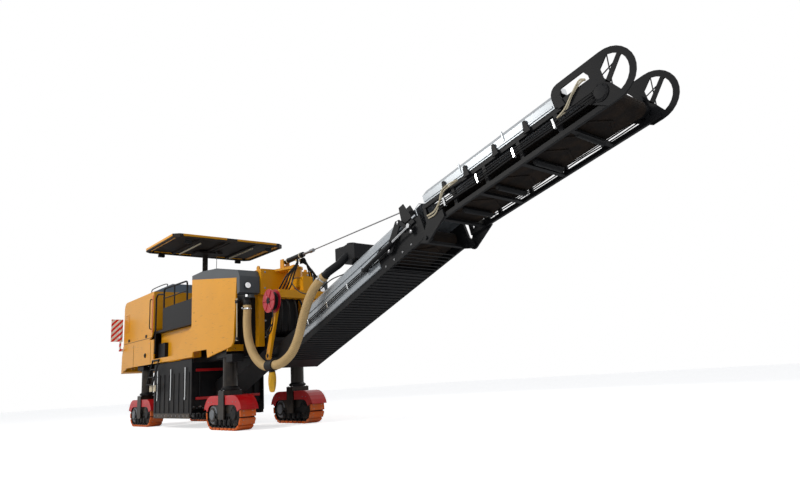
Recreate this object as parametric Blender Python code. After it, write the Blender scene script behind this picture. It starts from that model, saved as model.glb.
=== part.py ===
"""Cold planer (road milling machine) with four steered crawler tracks, a milling drum on the right
side and a folding front discharge conveyor. Metres, +X forward, +Y to the machine's left, +Z up.

Every place below is given from the front axle, on the centreline, at ground level. The empty
`machine` then moves the whole model so that the origin lies under the middle of its box.
A moving piece hangs from an empty on its joint's axis.
"""

from math import atan2, cos, hypot, pi, radians, sin

import bmesh
import bpy
from mathutils import Matrix, Vector

# ---- gaps ----
touch = 0.0003  # between pieces that rest on or are fixed to each other
clear = 0.006  # between pieces that move past each other
running = 0.0008  # round a pin in its bore

# ---- running gear ----
wheelbase = 4.50
track_gauge = 1.44
track_length = 1.456
track_height = 0.546
shoe_width = 0.30
shoe_count = 22
shoe_groove = 0.040
shoe_gap_share = 0.16
belt_depth = 0.090  # from the shoe's face to the inside of the loop
fender_gap = 0.060
fender_sheet = 0.010
fork_plate = 0.030
fork_half_length = 0.115
fork_top = 0.085
leg_radius = 0.130
leg_sleeve_wall = 0.040

# ---- chassis and body ----
frame_bottom = 1.30
frame_height = 0.25
beam_width = 0.13
beam_half_span = 0.62
body_half_width = 0.948
body_sheet = 0.030
body_bottom = 1.40
body_tail = -5.80
tail_skirt = 0.12
body_split = 1.950
hood_front = -3.54
hood_edge_height = 3.07
hood_crown = 0.20
recess_half_width = 0.76
deck_height = 2.08
deck_sheet = 0.055
deck_wall = 0.48
station_rear = -3.48
station_front = -1.33
ladder_pivot_out = 0.020
grab_foot = 1.64
pod_front = 0.74
pod_rear_height = 2.98
pod_front_height = 2.69
cap_nose = 0.86

# ---- milling gear ----
drum_x = -2.41
drum_z = 0.80
drum_core_radius = 0.36
drum_bit_height = 0.10
drum_left_end = 0.62
drum_shaft_radius = 0.08
housing_half_length = 0.98
housing_sheet = 0.030
housing_bottom = 0.44
side_plate_sheet = 0.024
side_plate_bottom = 0.20
side_plate_height = 1.17
side_plate_margin = 0.10

trough_y = -0.08  # loading conveyor, from the drum to the discharge conveyor
trough_half_width = 0.30
trough_wall = 0.040

# ---- canopy ----
canopy_rear = -3.24
canopy_front = -1.42
canopy_half_width = 1.295
canopy_height = 3.90
canopy_sheet = 0.035
canopy_rib = 0.045
canopy_rib_places = (-0.66, -0.05, 0.05, 0.66)
canopy_post_x = -2.88
canopy_post_radius = 0.075
canopy_post_wall = 0.012

# ---- front mast and slewing yoke ----
mast_half_width = 0.54
mast_front = 0.90
mast_bottom = 2.38
mast_top = 2.86
mast_plate = 0.040
mast_depth = 0.27
mast_leg_inner = 0.40
lifting_eye_radius = 0.050
slew_x = 1.20
slew_pin_radius = 0.050
slew_hub_radius = 0.15
lift_x = 1.20
lift_z = 1.25
lift_pin_radius = 0.035
yoke_leg = 0.050
yoke_bar_x = 1.58
yoke_bar_z = 2.22
hoist_x = 0.83
hoist_z = 3.03
hoist_end_x = 4.84
hoist_end_inset = 0.05  # from the conveyor's side
hoist_end_z = 3.00
hoist_barrel_length = 0.80
hoist_barrel_radius = 0.048
hoist_rod_radius = 0.022
hoist_rope_radius = 0.010
hoist_pin_radius = 0.016
reel_radius = 0.205
reel_width = 0.13
reel_cap = 0.010  # of its spindle past it

# ---- discharge conveyor: s along its underside, h square to it ----
tail_x = 1.09
tail_z = 1.00
lower_slope = radians(20.05)
upper_slope = radians(13.5)
lower_length = 4.46
upper_length = 3.05
upper_rise = 0.085  # from the lower section's underside to the upper one's, at the fold
conveyor_half_width = 0.44
side_sheet = 0.045
side_height = 0.34
cover_start = 1.17
cover_full_end = 3.45
cover_bottom = 0.09
cover_height = 0.56
cover_crown = 0.06
cover_sheet = 0.008
belt_half_width = 0.31
belt_sheet = 0.014
belt_drum_radius = 0.095
belt_height = 0.165
fold_pin_radius = 0.028
lower_tail_drum = 0.17
hoist_cheek_half = 0.064
lower_rib_places = (0.9, 1.8, 2.7, 3.6, 4.3)
upper_upright_places = (0.62, 1.18, 1.74, 2.30)
upper_tie_places = (0.30, 1.00, 1.70, 2.40)
guard_centre = 3.04
guard_radius = 0.30
guard_rear = 2.36
guard_sheet = 0.018

# ---- dust hoses ----
hose_radius = 0.075
# Each hose's route is set by hand: x, y, z. It ends in a straight stretch.
rear_hose_route = [
    (0.86, -0.80, 2.18),
    (0.86, -0.80, 2.11),
    (0.86, -0.80, 2.04),
    (0.89, -0.82, 1.86),
    (0.97, -0.845, 1.62),
    (1.10, -0.86, 1.41),
    (1.28, -0.868, 1.23),
    (1.48, -0.87, 1.11),
    (1.64, -0.87, 1.06),
    (1.72, -0.87, 1.06),
    (1.80, -0.87, 1.06),
]
front_hose_route = [
    (1.90, -0.87, 1.06),
    (1.98, -0.87, 1.06),
    (2.06, -0.87, 1.06),
    (2.24, -0.85, 1.11),
    (2.40, -0.80, 1.24),
    (2.49, -0.74, 1.46),
    (2.54, -0.68, 1.74),
    (2.62, -0.63, 2.00),
    (2.73, -0.595, 2.18),
    (2.86, -0.568, 2.29),
    (2.93, -0.556, 2.33),
    (3.00, -0.544, 2.37),
]
clamp_reach = 0.060  # of each collar over its hose
clamp_wall = 0.016
bag_length = 0.34

# ---- suction fan, over the lower cover ----
fan_rear = 2.93
fan_front = 3.45
fan_right = -0.28
fan_left = 0.12
fan_bottom = 2.60
fan_top = 2.84
fan_duct_radius = 0.065

# Corner of the machine: name, front (1) or rear (0), side (-1 right, 1 left).
corners = [
    ("front_right", 1, -1),
    ("front_left", 1, 1),
    ("rear_right", 0, -1),
    ("rear_left", 0, 1),
]

# Material: name, colour, roughness, metallic.
finishes = [
    ("body_yellow", (0.80, 0.36, 0.010), 0.35, 0.0),
    ("cap_grey", (0.105, 0.115, 0.125), 0.45, 0.0),
    ("frame_black", (0.012, 0.013, 0.015), 0.45, 0.0),
    ("leg_steel", (0.16, 0.16, 0.17), 0.40, 0.8),
    ("fender_red", (0.62, 0.010, 0.012), 0.38, 0.0),
    ("shoe_orange", (0.80, 0.19, 0.025), 0.60, 0.0),
    ("plate_silver", (0.42, 0.46, 0.49), 0.38, 0.6),
    ("belt_rubber", (0.020, 0.017, 0.015), 0.80, 0.0),
    ("drum_iron", (0.09, 0.085, 0.08), 0.55, 0.9),
    ("hose_tan", (0.66, 0.47, 0.22), 0.60, 0.0),
    ("reel_red", (0.50, 0.012, 0.025), 0.40, 0.0),
    ("seat_vinyl", (0.018, 0.018, 0.020), 0.55, 0.0),
    ("warning_white", (0.80, 0.80, 0.80), 0.35, 0.0),
    ("bag_yellow", (0.80, 0.42, 0.02), 0.80, 0.0),
]

frame_top = frame_bottom + frame_height
sleeve_end = frame_top - 0.02
hoist_end_y = hoist_end_inset - conveyor_half_width
track_half = track_length / 2 - track_height / 2  # from the middle to an end wheel
fender_top = track_height + fender_gap
fork_bottom_z = fender_top + fender_sheet + touch
fork_top_z = fork_bottom_z + fork_top
housing_right = -(body_half_width - body_sheet - 3 * touch - side_plate_sheet - clear)
housing_left = drum_left_end + 0.05
end_drum_radius = (belt_drum_radius - belt_sheet) * cos(pi / 16) - touch
tail_origin = Vector((tail_x, 0, tail_z))


# ---- shapes: each is (points, faces) ----
def prism(outline, low, high, along="y"):
    """An outline extruded between two values of one axis. Outline points are (x, z) along y,
    (x, y) along z and (y, z) along x."""
    put = {
        "y": lambda a, b, c: (a, c, b),
        "z": lambda a, b, c: (a, b, c),
        "x": lambda a, b, c: (c, a, b),
    }[along]
    count = len(outline)
    points = [put(a, b, level) for level in (low, high) for a, b in outline]
    sides = [(i, (i + 1) % count, (i + 1) % count + count, i + count) for i in range(count)]
    return points, [tuple(range(count))[::-1], tuple(range(count, 2 * count)), *sides]


def box(low, high):
    (ax, ay, az), (bx, by, bz) = low, high
    return prism([(ax, ay), (bx, ay), (bx, by), (ax, by)], az, bz, "z")


def across(rear, front, side, inner, outer, low, high):
    """A box on one side of the machine, side -1 right or 1 left, between two distances from the
    centreline."""
    near, far = sorted((side * inner, side * outer))
    return box((rear, near, low), (front, far, high))


def ring(outer, inner, low, high):
    """The band between two (x, z) outlines of equal count, extruded along y."""
    count = len(outer)
    points = [(x, y, z) for y in (low, high) for line in (outer, inner) for x, z in line]
    faces = []
    for i in range(count):
        j = (i + 1) % count
        out_low, in_low, out_high, in_high = (k * count for k in range(4))
        faces += [
            (out_low + i, out_low + j, in_low + j, in_low + i),
            (out_high + j, out_high + i, in_high + i, in_high + j),
            (out_low + j, out_low + i, out_high + i, out_high + j),
            (in_low + i, in_low + j, in_high + j, in_high + i),
        ]
    return points, faces


def ring_plate(outer, inner, low, high):
    """The band between two (x, y) outlines of equal count, extruded upwards."""
    points, faces = ring(outer, inner, low, high)
    return [(x, z, y) for x, y, z in points], faces


def arc(centre, radius, start, end, steps):
    """Points on an arc in a plane, angles in degrees."""
    angles = [radians(start + (end - start) * i / steps) for i in range(steps + 1)]
    return [(centre[0] + radius * cos(a), centre[1] + radius * sin(a)) for a in angles]


def sweep(route, radius, sides=10):
    """A round bar along a route of points, with flat ends."""
    route = [Vector(p) for p in route]
    steps = [(b - a).normalized() for a, b in zip(route, route[1:])]
    ways = [steps[0], *[(a + b).normalized() for a, b in zip(steps, steps[1:])], steps[-1]]
    side = ways[0].orthogonal().normalized()
    points = []
    for place, way in zip(route, ways):
        side = (side - way * side.dot(way)).normalized()
        other = way.cross(side)
        for k in range(sides):
            turn = 2 * pi * k / sides
            points.append(tuple(place + radius * (cos(turn) * side + sin(turn) * other)))
    faces = [tuple(range(sides))[::-1], tuple(range(len(points) - sides, len(points)))]
    for level in range(len(route) - 1):
        for k in range(sides):
            first, after = level * sides + k, level * sides + (k + 1) % sides
            faces.append((first, after, after + sides, first + sides))
    return points, faces


def bar(start, end, radius, sides=16):
    return sweep([start, end], radius, sides)


def bent(route, radius, steps=4):
    """A route with each inner corner rounded to a radius."""
    route = [Vector(p) for p in route]
    out = [route[0]]
    for before, corner, after in zip(route, route[1:], route[2:]):
        back, on = (before - corner), (after - corner)
        reach = min(radius, back.length / 2.1, on.length / 2.1)
        first, last = corner + back.normalized() * reach, corner + on.normalized() * reach
        for k in range(steps + 1):
            t = k / steps
            out.append(first * (1 - t) ** 2 + corner * 2 * t * (1 - t) + last * t * t)
    return [*out, route[-1]]


def moved(shape, matrix):
    points, faces = shape
    return [tuple(matrix @ Vector(p)) for p in points], faces


def on_lower(shape):
    """A shape drawn in the lower section's s, y, h, put on the machine."""
    return moved(shape, lower_frame)


def on_upper(shape):
    """A shape drawn in the upper section's s, y, h, put on the machine."""
    return moved(shape, upper_frame)


# ---- objects ----
def new_material(name, colour, roughness, metallic):
    material = bpy.data.materials.new(name)
    material.use_nodes = True
    material.diffuse_color = (*colour, 1)
    shader = material.node_tree.nodes["Principled BSDF"]
    shader.inputs["Base Color"].default_value = (*colour, 1)
    shader.inputs["Roughness"].default_value = roughness
    shader.inputs["Metallic"].default_value = metallic


def empty(name, place=(0, 0, 0), parent=None):
    pivot = bpy.data.objects.new(name, None)
    pivot.location = place
    pivot.parent = parent
    bpy.context.scene.collection.objects.link(pivot)
    return pivot


def mesh_object(name, shape, pivot):
    points, faces = shape
    mesh = bpy.data.meshes.new(name)
    mesh.from_pydata([tuple(Vector(p) - pivot.location) for p in points], [], faces)
    work = bmesh.new()
    work.from_mesh(mesh)
    bmesh.ops.recalc_face_normals(work, faces=work.faces)
    work.to_mesh(mesh)
    work.free()
    result = bpy.data.objects.new(name, mesh)
    result.parent = pivot
    bpy.context.scene.collection.objects.link(result)
    return result


def part(name, finish, adds, cuts=(), pivot=None):
    """One node: the first shape, joined with the other adds, less the cuts."""
    pivot = pivot or fixed
    made = mesh_object(name, adds[0], pivot)
    made.data.materials.append(bpy.data.materials[finish])
    steps = [("UNION", s) for s in adds[1:]] + [("DIFFERENCE", s) for s in cuts]
    for number, (operation, shape) in enumerate(steps, 1):
        helper = mesh_object(f"{name}_{operation.lower()}_{number}", shape, pivot)
        helper.hide_render = True
        helper.display_type = "WIRE"
        step = made.modifiers.new(f"step_{number}", "BOOLEAN")
        step.operation = operation
        step.object = helper
    return made


# ---- running gear ----
def loop_point(share, inset):
    """A point at a share of the way round the track loop, moved in from its outer face."""
    straight, turn = 2 * track_half, pi * track_height / 2
    way = (share % 1) * 2 * (straight + turn)
    radius = track_height / 2
    if way < straight:
        place, angle = (way - track_half, radius), -pi / 2
    elif way < straight + turn:
        place, angle = (track_half, radius), (way - straight) / radius - pi / 2
    elif way < 2 * straight + turn:
        place, angle = (track_half - (way - straight - turn), radius), pi / 2
    else:
        place, angle = (-track_half, radius), (way - 2 * straight - turn) / radius + pi / 2
    reach = radius - inset
    return place[0] + reach * cos(angle), place[1] + reach * sin(angle)


def loop_outline(inset, groove):
    """Round the loop, four points a shoe: the two ends of its face and of the groove after it."""
    outline = []
    for shoe in range(shoe_count):
        for share, depth in (
            (shoe_gap_share / 2, 0),
            (1 - shoe_gap_share / 2, 0),
            (1 - shoe_gap_share / 3, groove),
            (1 + shoe_gap_share / 3, groove),
        ):
            outline.append(loop_point((shoe + share) / shoe_count, inset + depth))
    return outline


def track_unit(name, front, side):
    x = 0 if front else -wheelbase
    y = side * track_gauge / 2
    pivot = empty(f"steering_axis_{name}", (x, y, 0), machine)
    half = shoe_width / 2

    def here(shape):
        return moved(shape, Matrix.Translation((x, y, 0)))

    outer, inner = loop_outline(0, shoe_groove), loop_outline(belt_depth, 0)
    part(f"track_{name}", "shoe_orange", [here(ring(outer, inner, -half, half))], pivot=pivot)

    core = prism(loop_outline(belt_depth + touch, 0), -half * 0.85, half * 0.85)
    fork_in, middle = half + clear, track_height / 2
    fork_out = fork_in + fork_plate
    legs = [
        box(
            (-fork_half_length, min(s * fork_in, s * fork_out), middle - 0.08),
            (fork_half_length, max(s * fork_in, s * fork_out), fork_top_z),
        )
        for s in (-1, 1)
    ]
    top = box((-fork_half_length, -fork_out, fork_bottom_z), (fork_half_length, fork_out, fork_top_z))
    axle = bar((0, -fork_out, middle), (0, fork_out, middle), 0.05)
    hub = bar((-track_half, -half, middle), (-track_half, half, middle), 0.13, 24)
    column = bar((0, 0, fork_top_z - 0.01), (0, 0, sleeve_end - touch), leg_radius, 20)
    shapes = [core, axle, hub, *legs, top, column]
    part(f"track_frame_{name}", "frame_black", [here(s) for s in shapes], pivot=pivot)

    reach = track_height / 2 + fender_gap
    outside = reach + fender_sheet
    skirt = reach - 0.155
    ends = (track_half, middle)
    over = [
        *[(-a, b) for a, b in arc(ends, outside, 15, 90, 5)],
        *arc(ends, outside, 90, 15, 5),
        *arc(ends, reach, 15, 90, 5),
        *[(-a, b) for a, b in arc(ends, reach, 90, 15, 5)],
    ]
    side_front = [
        (fork_half_length + 0.02, fender_top + fender_sheet),
        *arc(ends, outside, 90, 20, 5),
        *arc(ends, skirt, 20, 90, 4),
        (fork_half_length + 0.02, middle + skirt),
    ]
    skirts = []
    for s in (-1, 1):
        low, high = sorted((s * (half + clear), s * (half + clear + fender_sheet)))
        skirts += [prism(side_front, low, high), prism([(-a, b) for a, b in side_front], low, high)]
    wide_half = half + clear + fender_sheet
    wide = prism(over, -wide_half, wide_half)
    room = fork_half_length + 0.005
    notches = [
        box((-room, min(s * (half - 0.02), s * 0.3), 0.5), (room, max(s * (half - 0.02), s * 0.3), 0.7))
        for s in (-1, 1)
    ]
    adds, cuts = [here(s) for s in (wide, *skirts)], [here(s) for s in notches]
    part(f"fender_{name}", "fender_red", adds, cuts, pivot=pivot)


# ---- chassis ----
def chassis():
    rear, front = body_tail + 0.45, mast_front - mast_depth - touch
    reach = track_gauge / 2 + leg_radius + leg_sleeve_wall
    pieces = []
    for s in (-1, 1):
        pieces += [
            across(rear, front, s, beam_half_span - beam_width, beam_half_span, frame_bottom, frame_top),
            across(-0.2, 0.2, s, beam_half_span - 0.05, reach, frame_bottom + 0.001, frame_top - 0.001),
            across(-1.05, front - 0.01, s, trough_half_width + 0.15, 0.60, frame_top - 0.05, 1.80),
        ]
    pieces += [
        box((-wheelbase - 0.2, -reach, frame_bottom + 0.001), (-wheelbase + 0.2, reach, frame_top - 0.001)),
        box((rear, -0.55, frame_bottom + 0.002), (rear + 0.12, 0.55, frame_top - 0.002)),
        box((-1.05, -0.60, 1.75), (front - 0.01, 0.60, mast_bottom - 0.02)),
    ]
    bores = []
    for _, is_front, side in corners:
        x, y = (0 if is_front else -wheelbase), side * track_gauge / 2
        low = frame_bottom - 0.05
        bores.append(bar((x, y, low), (x, y, sleeve_end), leg_radius + 2 * clear, 20))
    end = Vector(rear_hose_route[0])
    spigot = [
        (front - 0.17, -0.55, end.z + 0.09),
        (front, -0.72, end.z + 0.10),
        (end.x - 0.05, end.y + 0.01, end.z + 0.09),
        (end.x, end.y, end.z + 0.03),
        (end.x, end.y, end.z + touch),
    ]
    pieces.append(sweep(spigot, hose_radius - 0.005, 16))
    part("chassis", "frame_black", pieces, bores)


def milling_gear():
    right, left = housing_right, housing_left
    rear, front = drum_x - housing_half_length, drum_x + housing_half_length
    top = frame_bottom - touch
    t = housing_sheet
    shell = box((rear, right, housing_bottom), (front, left, top))
    inside = box((rear + t, right + t, housing_bottom - 0.1), (front - t, left - t, top - t))
    mouth_half = trough_half_width - trough_wall
    mouth = box(
        (front - 0.1, trough_y - mouth_half, housing_bottom - 0.1),
        (front + 0.1, trough_y + mouth_half, 0.95),
    )
    shaft_bore = bar(
        (drum_x, right - 0.1, drum_z), (drum_x, left + 0.1, drum_z), drum_shaft_radius, 24
    )
    part("drum_housing", "frame_black", [shell], [inside, mouth, shaft_bore])

    pivot = empty("drum_axis", (drum_x, 0, drum_z), machine)
    low, high = right + t + 0.02, left - t - 0.02
    turns, rows = 30, 20
    points, faces = [], []
    for row in range(rows + 1):
        y = low + (high - low) * row / rows
        for k in range(turns):
            bit = (k + 3 * row) % 5 == 0 and 0 < row < rows
            radius = drum_core_radius + (drum_bit_height if bit else 0)
            turn = 2 * pi * k / turns
            points.append((drum_x + radius * cos(turn), y, drum_z + radius * sin(turn)))
    for row in range(rows):
        for k in range(turns):
            a, b = row * turns + k, row * turns + (k + 1) % turns
            faces.append((a, b, b + turns, a + turns))
    faces += [tuple(range(turns)), tuple(range(rows * turns, (rows + 1) * turns))]
    shaft = bar(
        (drum_x, right + 0.002, drum_z), (drum_x, left - 0.002, drum_z), drum_shaft_radius - running, 24
    )
    part("milling_drum", "drum_iron", [(points, faces), shaft], pivot=pivot)

    plate_rear = rear - side_plate_margin
    plate_front = front + side_plate_margin - 0.02
    plate_top = side_plate_bottom + side_plate_height
    outline = [
        (plate_rear, side_plate_bottom + 0.08),
        (plate_rear + 0.12, side_plate_bottom),
        (plate_front - 0.12, side_plate_bottom),
        (plate_front, side_plate_bottom + 0.08),
        (plate_front, plate_top),
        (plate_rear, plate_top),
    ]
    for name, wall, s in (("right", right, -1), ("left", left, 1)):
        inner = wall + s * touch
        plate = prism(outline, *sorted((inner, inner + s * side_plate_sheet)))
        slide = empty(f"side_plate_slide_{name}", (drum_x, inner, side_plate_bottom), machine)
        part(f"side_plate_{name}", "frame_black", [plate], pivot=slide)

    slide = empty("scraper_slide", (rear, 0, 0.25), machine)
    blade = box((rear - touch - 0.03, right + 0.01, 0.24), (rear - touch, left - 0.01, 1.18))
    lip = box((rear - touch - 0.05, right + 0.01, 0.24), (rear - touch - 0.005, left - 0.01, 0.34))
    part("scraper", "frame_black", [blade, lip], pivot=slide)

    slope = radians(20.3)
    start = Vector((front + touch, trough_y, 0.60))
    place = Matrix.Translation(start) @ Matrix.Rotation(-slope, 4, "Y")
    length = (slew_x - 0.12 - start.x) / cos(slope)
    wide = trough_half_width
    trough = box((0.0, -wide, 0), (length, wide, 0.26))
    inner = wide - trough_wall
    hollow = box((-0.1, -inner, 0.06), (length + 0.1, inner, 0.32))
    square = box((-0.5, -0.5, -0.5), (0, 0.5, 1.0))
    nose = moved(square, Matrix.Translation(start))
    part("loading_conveyor", "frame_black", [moved(trough, place)], [moved(hollow, place), nose])


# ---- body ----
def rear_body():
    w, t = body_half_width, body_sheet
    split = body_split - touch / 2
    outline = [
        (body_tail, body_bottom - tail_skirt),
        (body_tail + 0.40, body_bottom),
        (station_rear - touch, body_bottom),
        (station_rear - touch, split),
        (body_tail + 0.10, split),
        (body_tail + 0.02, split - 0.25),
    ]
    inside = box((body_tail + 0.10 + t, -w + t, 1.0), (station_rear + 0.1, w - t, 2.4))
    part("rear_body", "body_yellow", [prism(outline, -w, w)], [inside])
    base = frame_top + touch
    part("engine_block", "frame_black", [box((-5.20, -0.55, base), (-3.72, 0.55, 2.72))])

    hinge = empty("hood_hinge", (body_tail + 0.10, 0, body_split), machine)
    low, top = body_split + touch / 2, hood_edge_height
    tail = body_tail + 0.12
    side = [
        (tail, low),
        (hood_front - 0.25, low),
        (hood_front - 0.08, low + 0.08),
        (hood_front, low + 0.26),
        (hood_front, top),
        *arc((tail + 0.16, top - 0.18), 0.17, 90, 180, 5),
    ]
    inside = box((tail + t, -w + t, 1.5), (hood_front - t, w - t, top - t))
    part("rear_hood", "body_yellow", [prism(side, -w, w)], [inside], pivot=hinge)
    crown = [
        (-w + 0.03, top + touch),
        (w - 0.03, top + touch),
        (w - 0.12, top + 0.05),
        (w * 0.55, top + hood_crown),
        (-w * 0.55, top + hood_crown),
        (-w + 0.12, top + 0.05),
    ]
    lid = prism(crown, tail + 0.18, hood_front, "x")
    slope = prism([(tail, top), (tail, top + 0.5), (tail + 1.5, top + 0.5)], -2, 2)
    part("hood_top", "cap_grey", [lid], [slope], pivot=hinge)

    for name, s in (("right", -1), ("left", 1)):
        near, far = s * (w + touch), s * (w + 0.302)
        low, high = sorted((s * (w + 0.020), far))
        plate = box((body_tail + 0.06, low, 2.09), (body_tail + 0.075, high, 2.655))
        low, high = sorted((near, s * (w + 0.10)))
        arm = box((body_tail + 0.07, low, 1.84), (body_tail + 0.12, high, 1.90))
        low, high = sorted((s * (w + 0.06), s * (w + 0.10)))
        post = box((body_tail + 0.0745, low, 1.84), (body_tail + 0.12, high, 2.50))
        part(f"warning_plate_{name}", "warning_white", [plate, arm, post])


def operator_station():
    low, top = body_bottom, deck_height - touch
    rear, front = station_rear, station_front + 0.05
    half, t = recess_half_width, body_sheet
    walls = [
        box((rear, s * half - t / 2, low), (front, s * half + t / 2, top)) for s in (-1, 1)
    ]
    lid = box((rear, -half, top - t), (front, half, top))
    part("mid_body", "body_yellow", [lid, *walls])

    floor_top = deck_height + deck_sheet
    edge = 0.90
    floor = box((rear, -edge, deck_height), (station_front - touch, edge, floor_top))
    sides = []
    wall_rear, wall_front, wall_top = rear + 0.40, station_front - touch, floor_top + deck_wall
    for s in (-1, 1):
        sides += [
            across(wall_rear, wall_front, s, edge - 0.03, edge, deck_height, wall_top),
            across(wall_rear, wall_rear + 0.03, s, edge - 0.33, edge, deck_height, wall_top),
        ]
    part("operator_deck", "frame_black", [floor, *sides])

    for name, s in (("right", -1), ("left", 1)):
        y = s * (edge - 0.015)
        base = floor_top + deck_wall + touch
        rail = bent(
            [
                (station_rear + 0.42, y, base),
                (station_rear + 0.42, y, 3.06),
                (station_front - 0.38, y, 3.03),
                (station_front - 0.38, y, base),
            ],
            0.09,
        )
        mid = bar((station_rear + 0.42, y, 2.84), (station_front - 0.38, y, 2.82), 0.014, 8)
        post = bar((station_rear + 1.05, y, base), (station_rear + 1.05, y, 3.045), 0.016, 8)
        outer_y = s * (body_half_width - 0.02)
        grab = bent(
            [
                (station_rear + touch, outer_y, grab_foot),
                (station_rear + 0.045, outer_y, grab_foot),
                (station_rear + 0.045, outer_y, 2.90),
                (station_rear + 0.14, outer_y, 2.97),
                (station_rear + 0.425, y, 2.93),
            ],
            0.04,
        )
        shapes = [sweep(rail, 0.019), sweep(grab, 0.019), mid, post]
        part(f"handrail_{name}", "frame_black", shapes)

    for name, s in (("right", -1), ("left", 1)):
        top_y, top_z = s * (body_half_width + ladder_pivot_out), 1.46
        foot_y, foot_z = s * (body_half_width + 0.15), 0.91
        x0, x1 = station_rear + 0.03, station_rear + 0.41
        hinge = empty(f"ladder_hinge_{name}", (0, top_y, top_z), machine)
        rails = [bar((x, top_y, top_z), (x, foot_y, foot_z), 0.016, 8) for x in (x0, x1)]
        rungs = []
        for share, radius in ((0, ladder_pivot_out - touch), (0.36, 0.013), (0.67, 0.013), (0.96, 0.013)):
            y, z = top_y + (foot_y - top_y) * share, top_z + (foot_z - top_z) * share
            rungs.append(bar((x0 - 0.02, y, z), (x1 + 0.02, y, z), radius, 16 if share == 0 else 8))
        part(f"ladder_{name}", "frame_black", [rungs[0], *rails, *rungs[1:]], pivot=hinge)
        wall = recess_half_width + body_sheet / 2 + touch
        step = across(x0 - 0.01, x0 + 0.44, s, wall, wall + 0.10, 1.42, 1.50)
        upper = across(x0 + 0.01, x0 + 0.42, s, wall, wall + 0.08, 1.49, 1.84)
        part(f"step_box_{name}", "frame_black", [step, upper])

    seat_x, seat_y = -1.98, 0.46
    base = bar((seat_x, seat_y, floor_top + touch), (seat_x, seat_y, 2.50), 0.06)
    cushion = box((seat_x - 0.24, seat_y - 0.24, 2.48), (seat_x + 0.24, seat_y + 0.24, 2.60))
    back = box((seat_x - 0.26, seat_y - 0.22, 2.55), (seat_x - 0.16, seat_y + 0.22, 2.98))
    part("operator_seat", "seat_vinyl", [cushion, base, back])


def front_body():
    w, t = body_half_width, body_sheet
    outline = [
        (station_front + 0.03, pod_rear_height),
        (pod_front, pod_front_height),
        (pod_front - 0.12, body_bottom + 0.26),
        *[(x, z) for x, z in arc((pod_front - 0.30, body_bottom + 0.24), 0.18, 0, -90, 5)],
        (-0.52, body_bottom - 0.06),
        (-0.55, body_bottom + 0.10),
        (-1.22, body_bottom + 0.10),
        (-1.24, body_bottom),
        (station_rear + touch, body_bottom),
        (station_rear + touch, body_bottom + 0.10),
        (-2.35, body_bottom + 0.10),
        (station_front + 0.03, 2.02),
    ]
    for name, s in (("right", -1), ("left", 1)):
        low, high = sorted((s * (w - t), s * w))
        shapes = [prism(outline, low, high)]
        y0, y1 = sorted((s * (0.62 + touch), s * (w - t / 2)))
        shapes += [
            box((x, y0, frame_bottom + 0.10), (x + 0.04, y1, frame_top - 0.03)) for x in (-0.40, 0.30)
        ]
        part(f"side_panel_{name}", "body_yellow", shapes)

    cap = [
        (station_front + 0.03, pod_rear_height + touch),
        (pod_front, pod_front_height + touch),
        (pod_front + 0.02, pod_front_height - 0.30),
        (cap_nose, pod_front_height - 0.28),
        (cap_nose, pod_front_height + 0.02),
        (pod_front + 0.04, pod_front_height + 0.14),
        (-0.10, pod_rear_height + 0.03),
        (-0.80, pod_rear_height + 0.09),
        (station_front + 0.03, pod_rear_height + 0.08),
    ]
    inner = mast_half_width + 0.012
    shapes = [prism(cap, -w, -inner), prism(cap, inner, w)]
    dash = prism(
        [
            (station_front + 0.03, 2.88),
            (station_front + 0.40, 2.88),
            (station_front + 0.36, 3.01),
            (station_front + 0.03, 3.04),
        ],
        -inner - 0.1,
        inner + 0.1,
    )
    stand_rear, stand_foot = station_front + 0.05, mast_bottom - 0.02 + touch
    stands = [
        across(stand_rear, stand_rear + 0.28, s, 0.40, 0.50, stand_foot, 2.90) for s in (-1, 1)
    ]
    part("pod_cap", "cap_grey", [dash, *shapes, *stands])


def canopy():
    x, floor_top = canopy_post_x, deck_height + deck_sheet
    tube = bar((x, 0, floor_top + touch), (x, 0, 3.02), canopy_post_radius, 24)
    foot = box((x - 0.15, -0.15, floor_top + touch), (x + 0.15, 0.15, floor_top + 0.02))
    bore_radius = canopy_post_radius - canopy_post_wall
    bore = bar((x, 0, floor_top + 0.03), (x, 0, 3.1), bore_radius, 24)
    part("canopy_post", "frame_black", [tube, foot], [bore])

    slide = empty("canopy_slide", (x, 0, floor_top), machine)
    w, rear, front, z = canopy_half_width, canopy_rear, canopy_front, canopy_height
    outline = [
        (rear + 0.10, -w),
        (front - 0.10, -w),
        (front, -w + 0.12),
        (front, w - 0.12),
        (front - 0.10, w),
        (rear + 0.10, w),
        (rear, w - 0.12),
        (rear, -w + 0.12),
    ]
    sheet = prism(outline, z + canopy_rib, z + canopy_rib + canopy_sheet, "z")
    inset = 0.05
    inner = [(a + inset if a < -2.3 else a - inset, b * (1 - inset / w)) for a, b in outline]
    ribs = [
        box((rear + 0.02, y - 0.03, z + 0.01), (front - 0.02, y + 0.03, z + canopy_rib + 0.01))
        for y in canopy_rib_places
    ]
    slide_radius = bore_radius - running
    inner_post = bar((x, 0, floor_top + 0.85), (x, 0, z + canopy_rib), slide_radius, 24)
    head = box((x - 0.12, -0.30, z - 0.02), (x + 0.30, 0.30, z + 0.02))
    frame = ring_plate(outline, inner, z, z + canopy_rib + 0.01)
    part("canopy", "cap_grey", [frame, sheet, inner_post, head, *ribs], pivot=slide)


# ---- mast, yoke and hoist ----
def hoist_line():
    """Where the hoist starts, its direction and the axis of its eye."""
    base = Vector((hoist_x, 0, hoist_z))
    way = (Vector((hoist_end_x, hoist_end_y, hoist_end_z)) - base).normalized()
    return base, way, Vector((-way.y, way.x, 0)).normalized()


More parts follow.
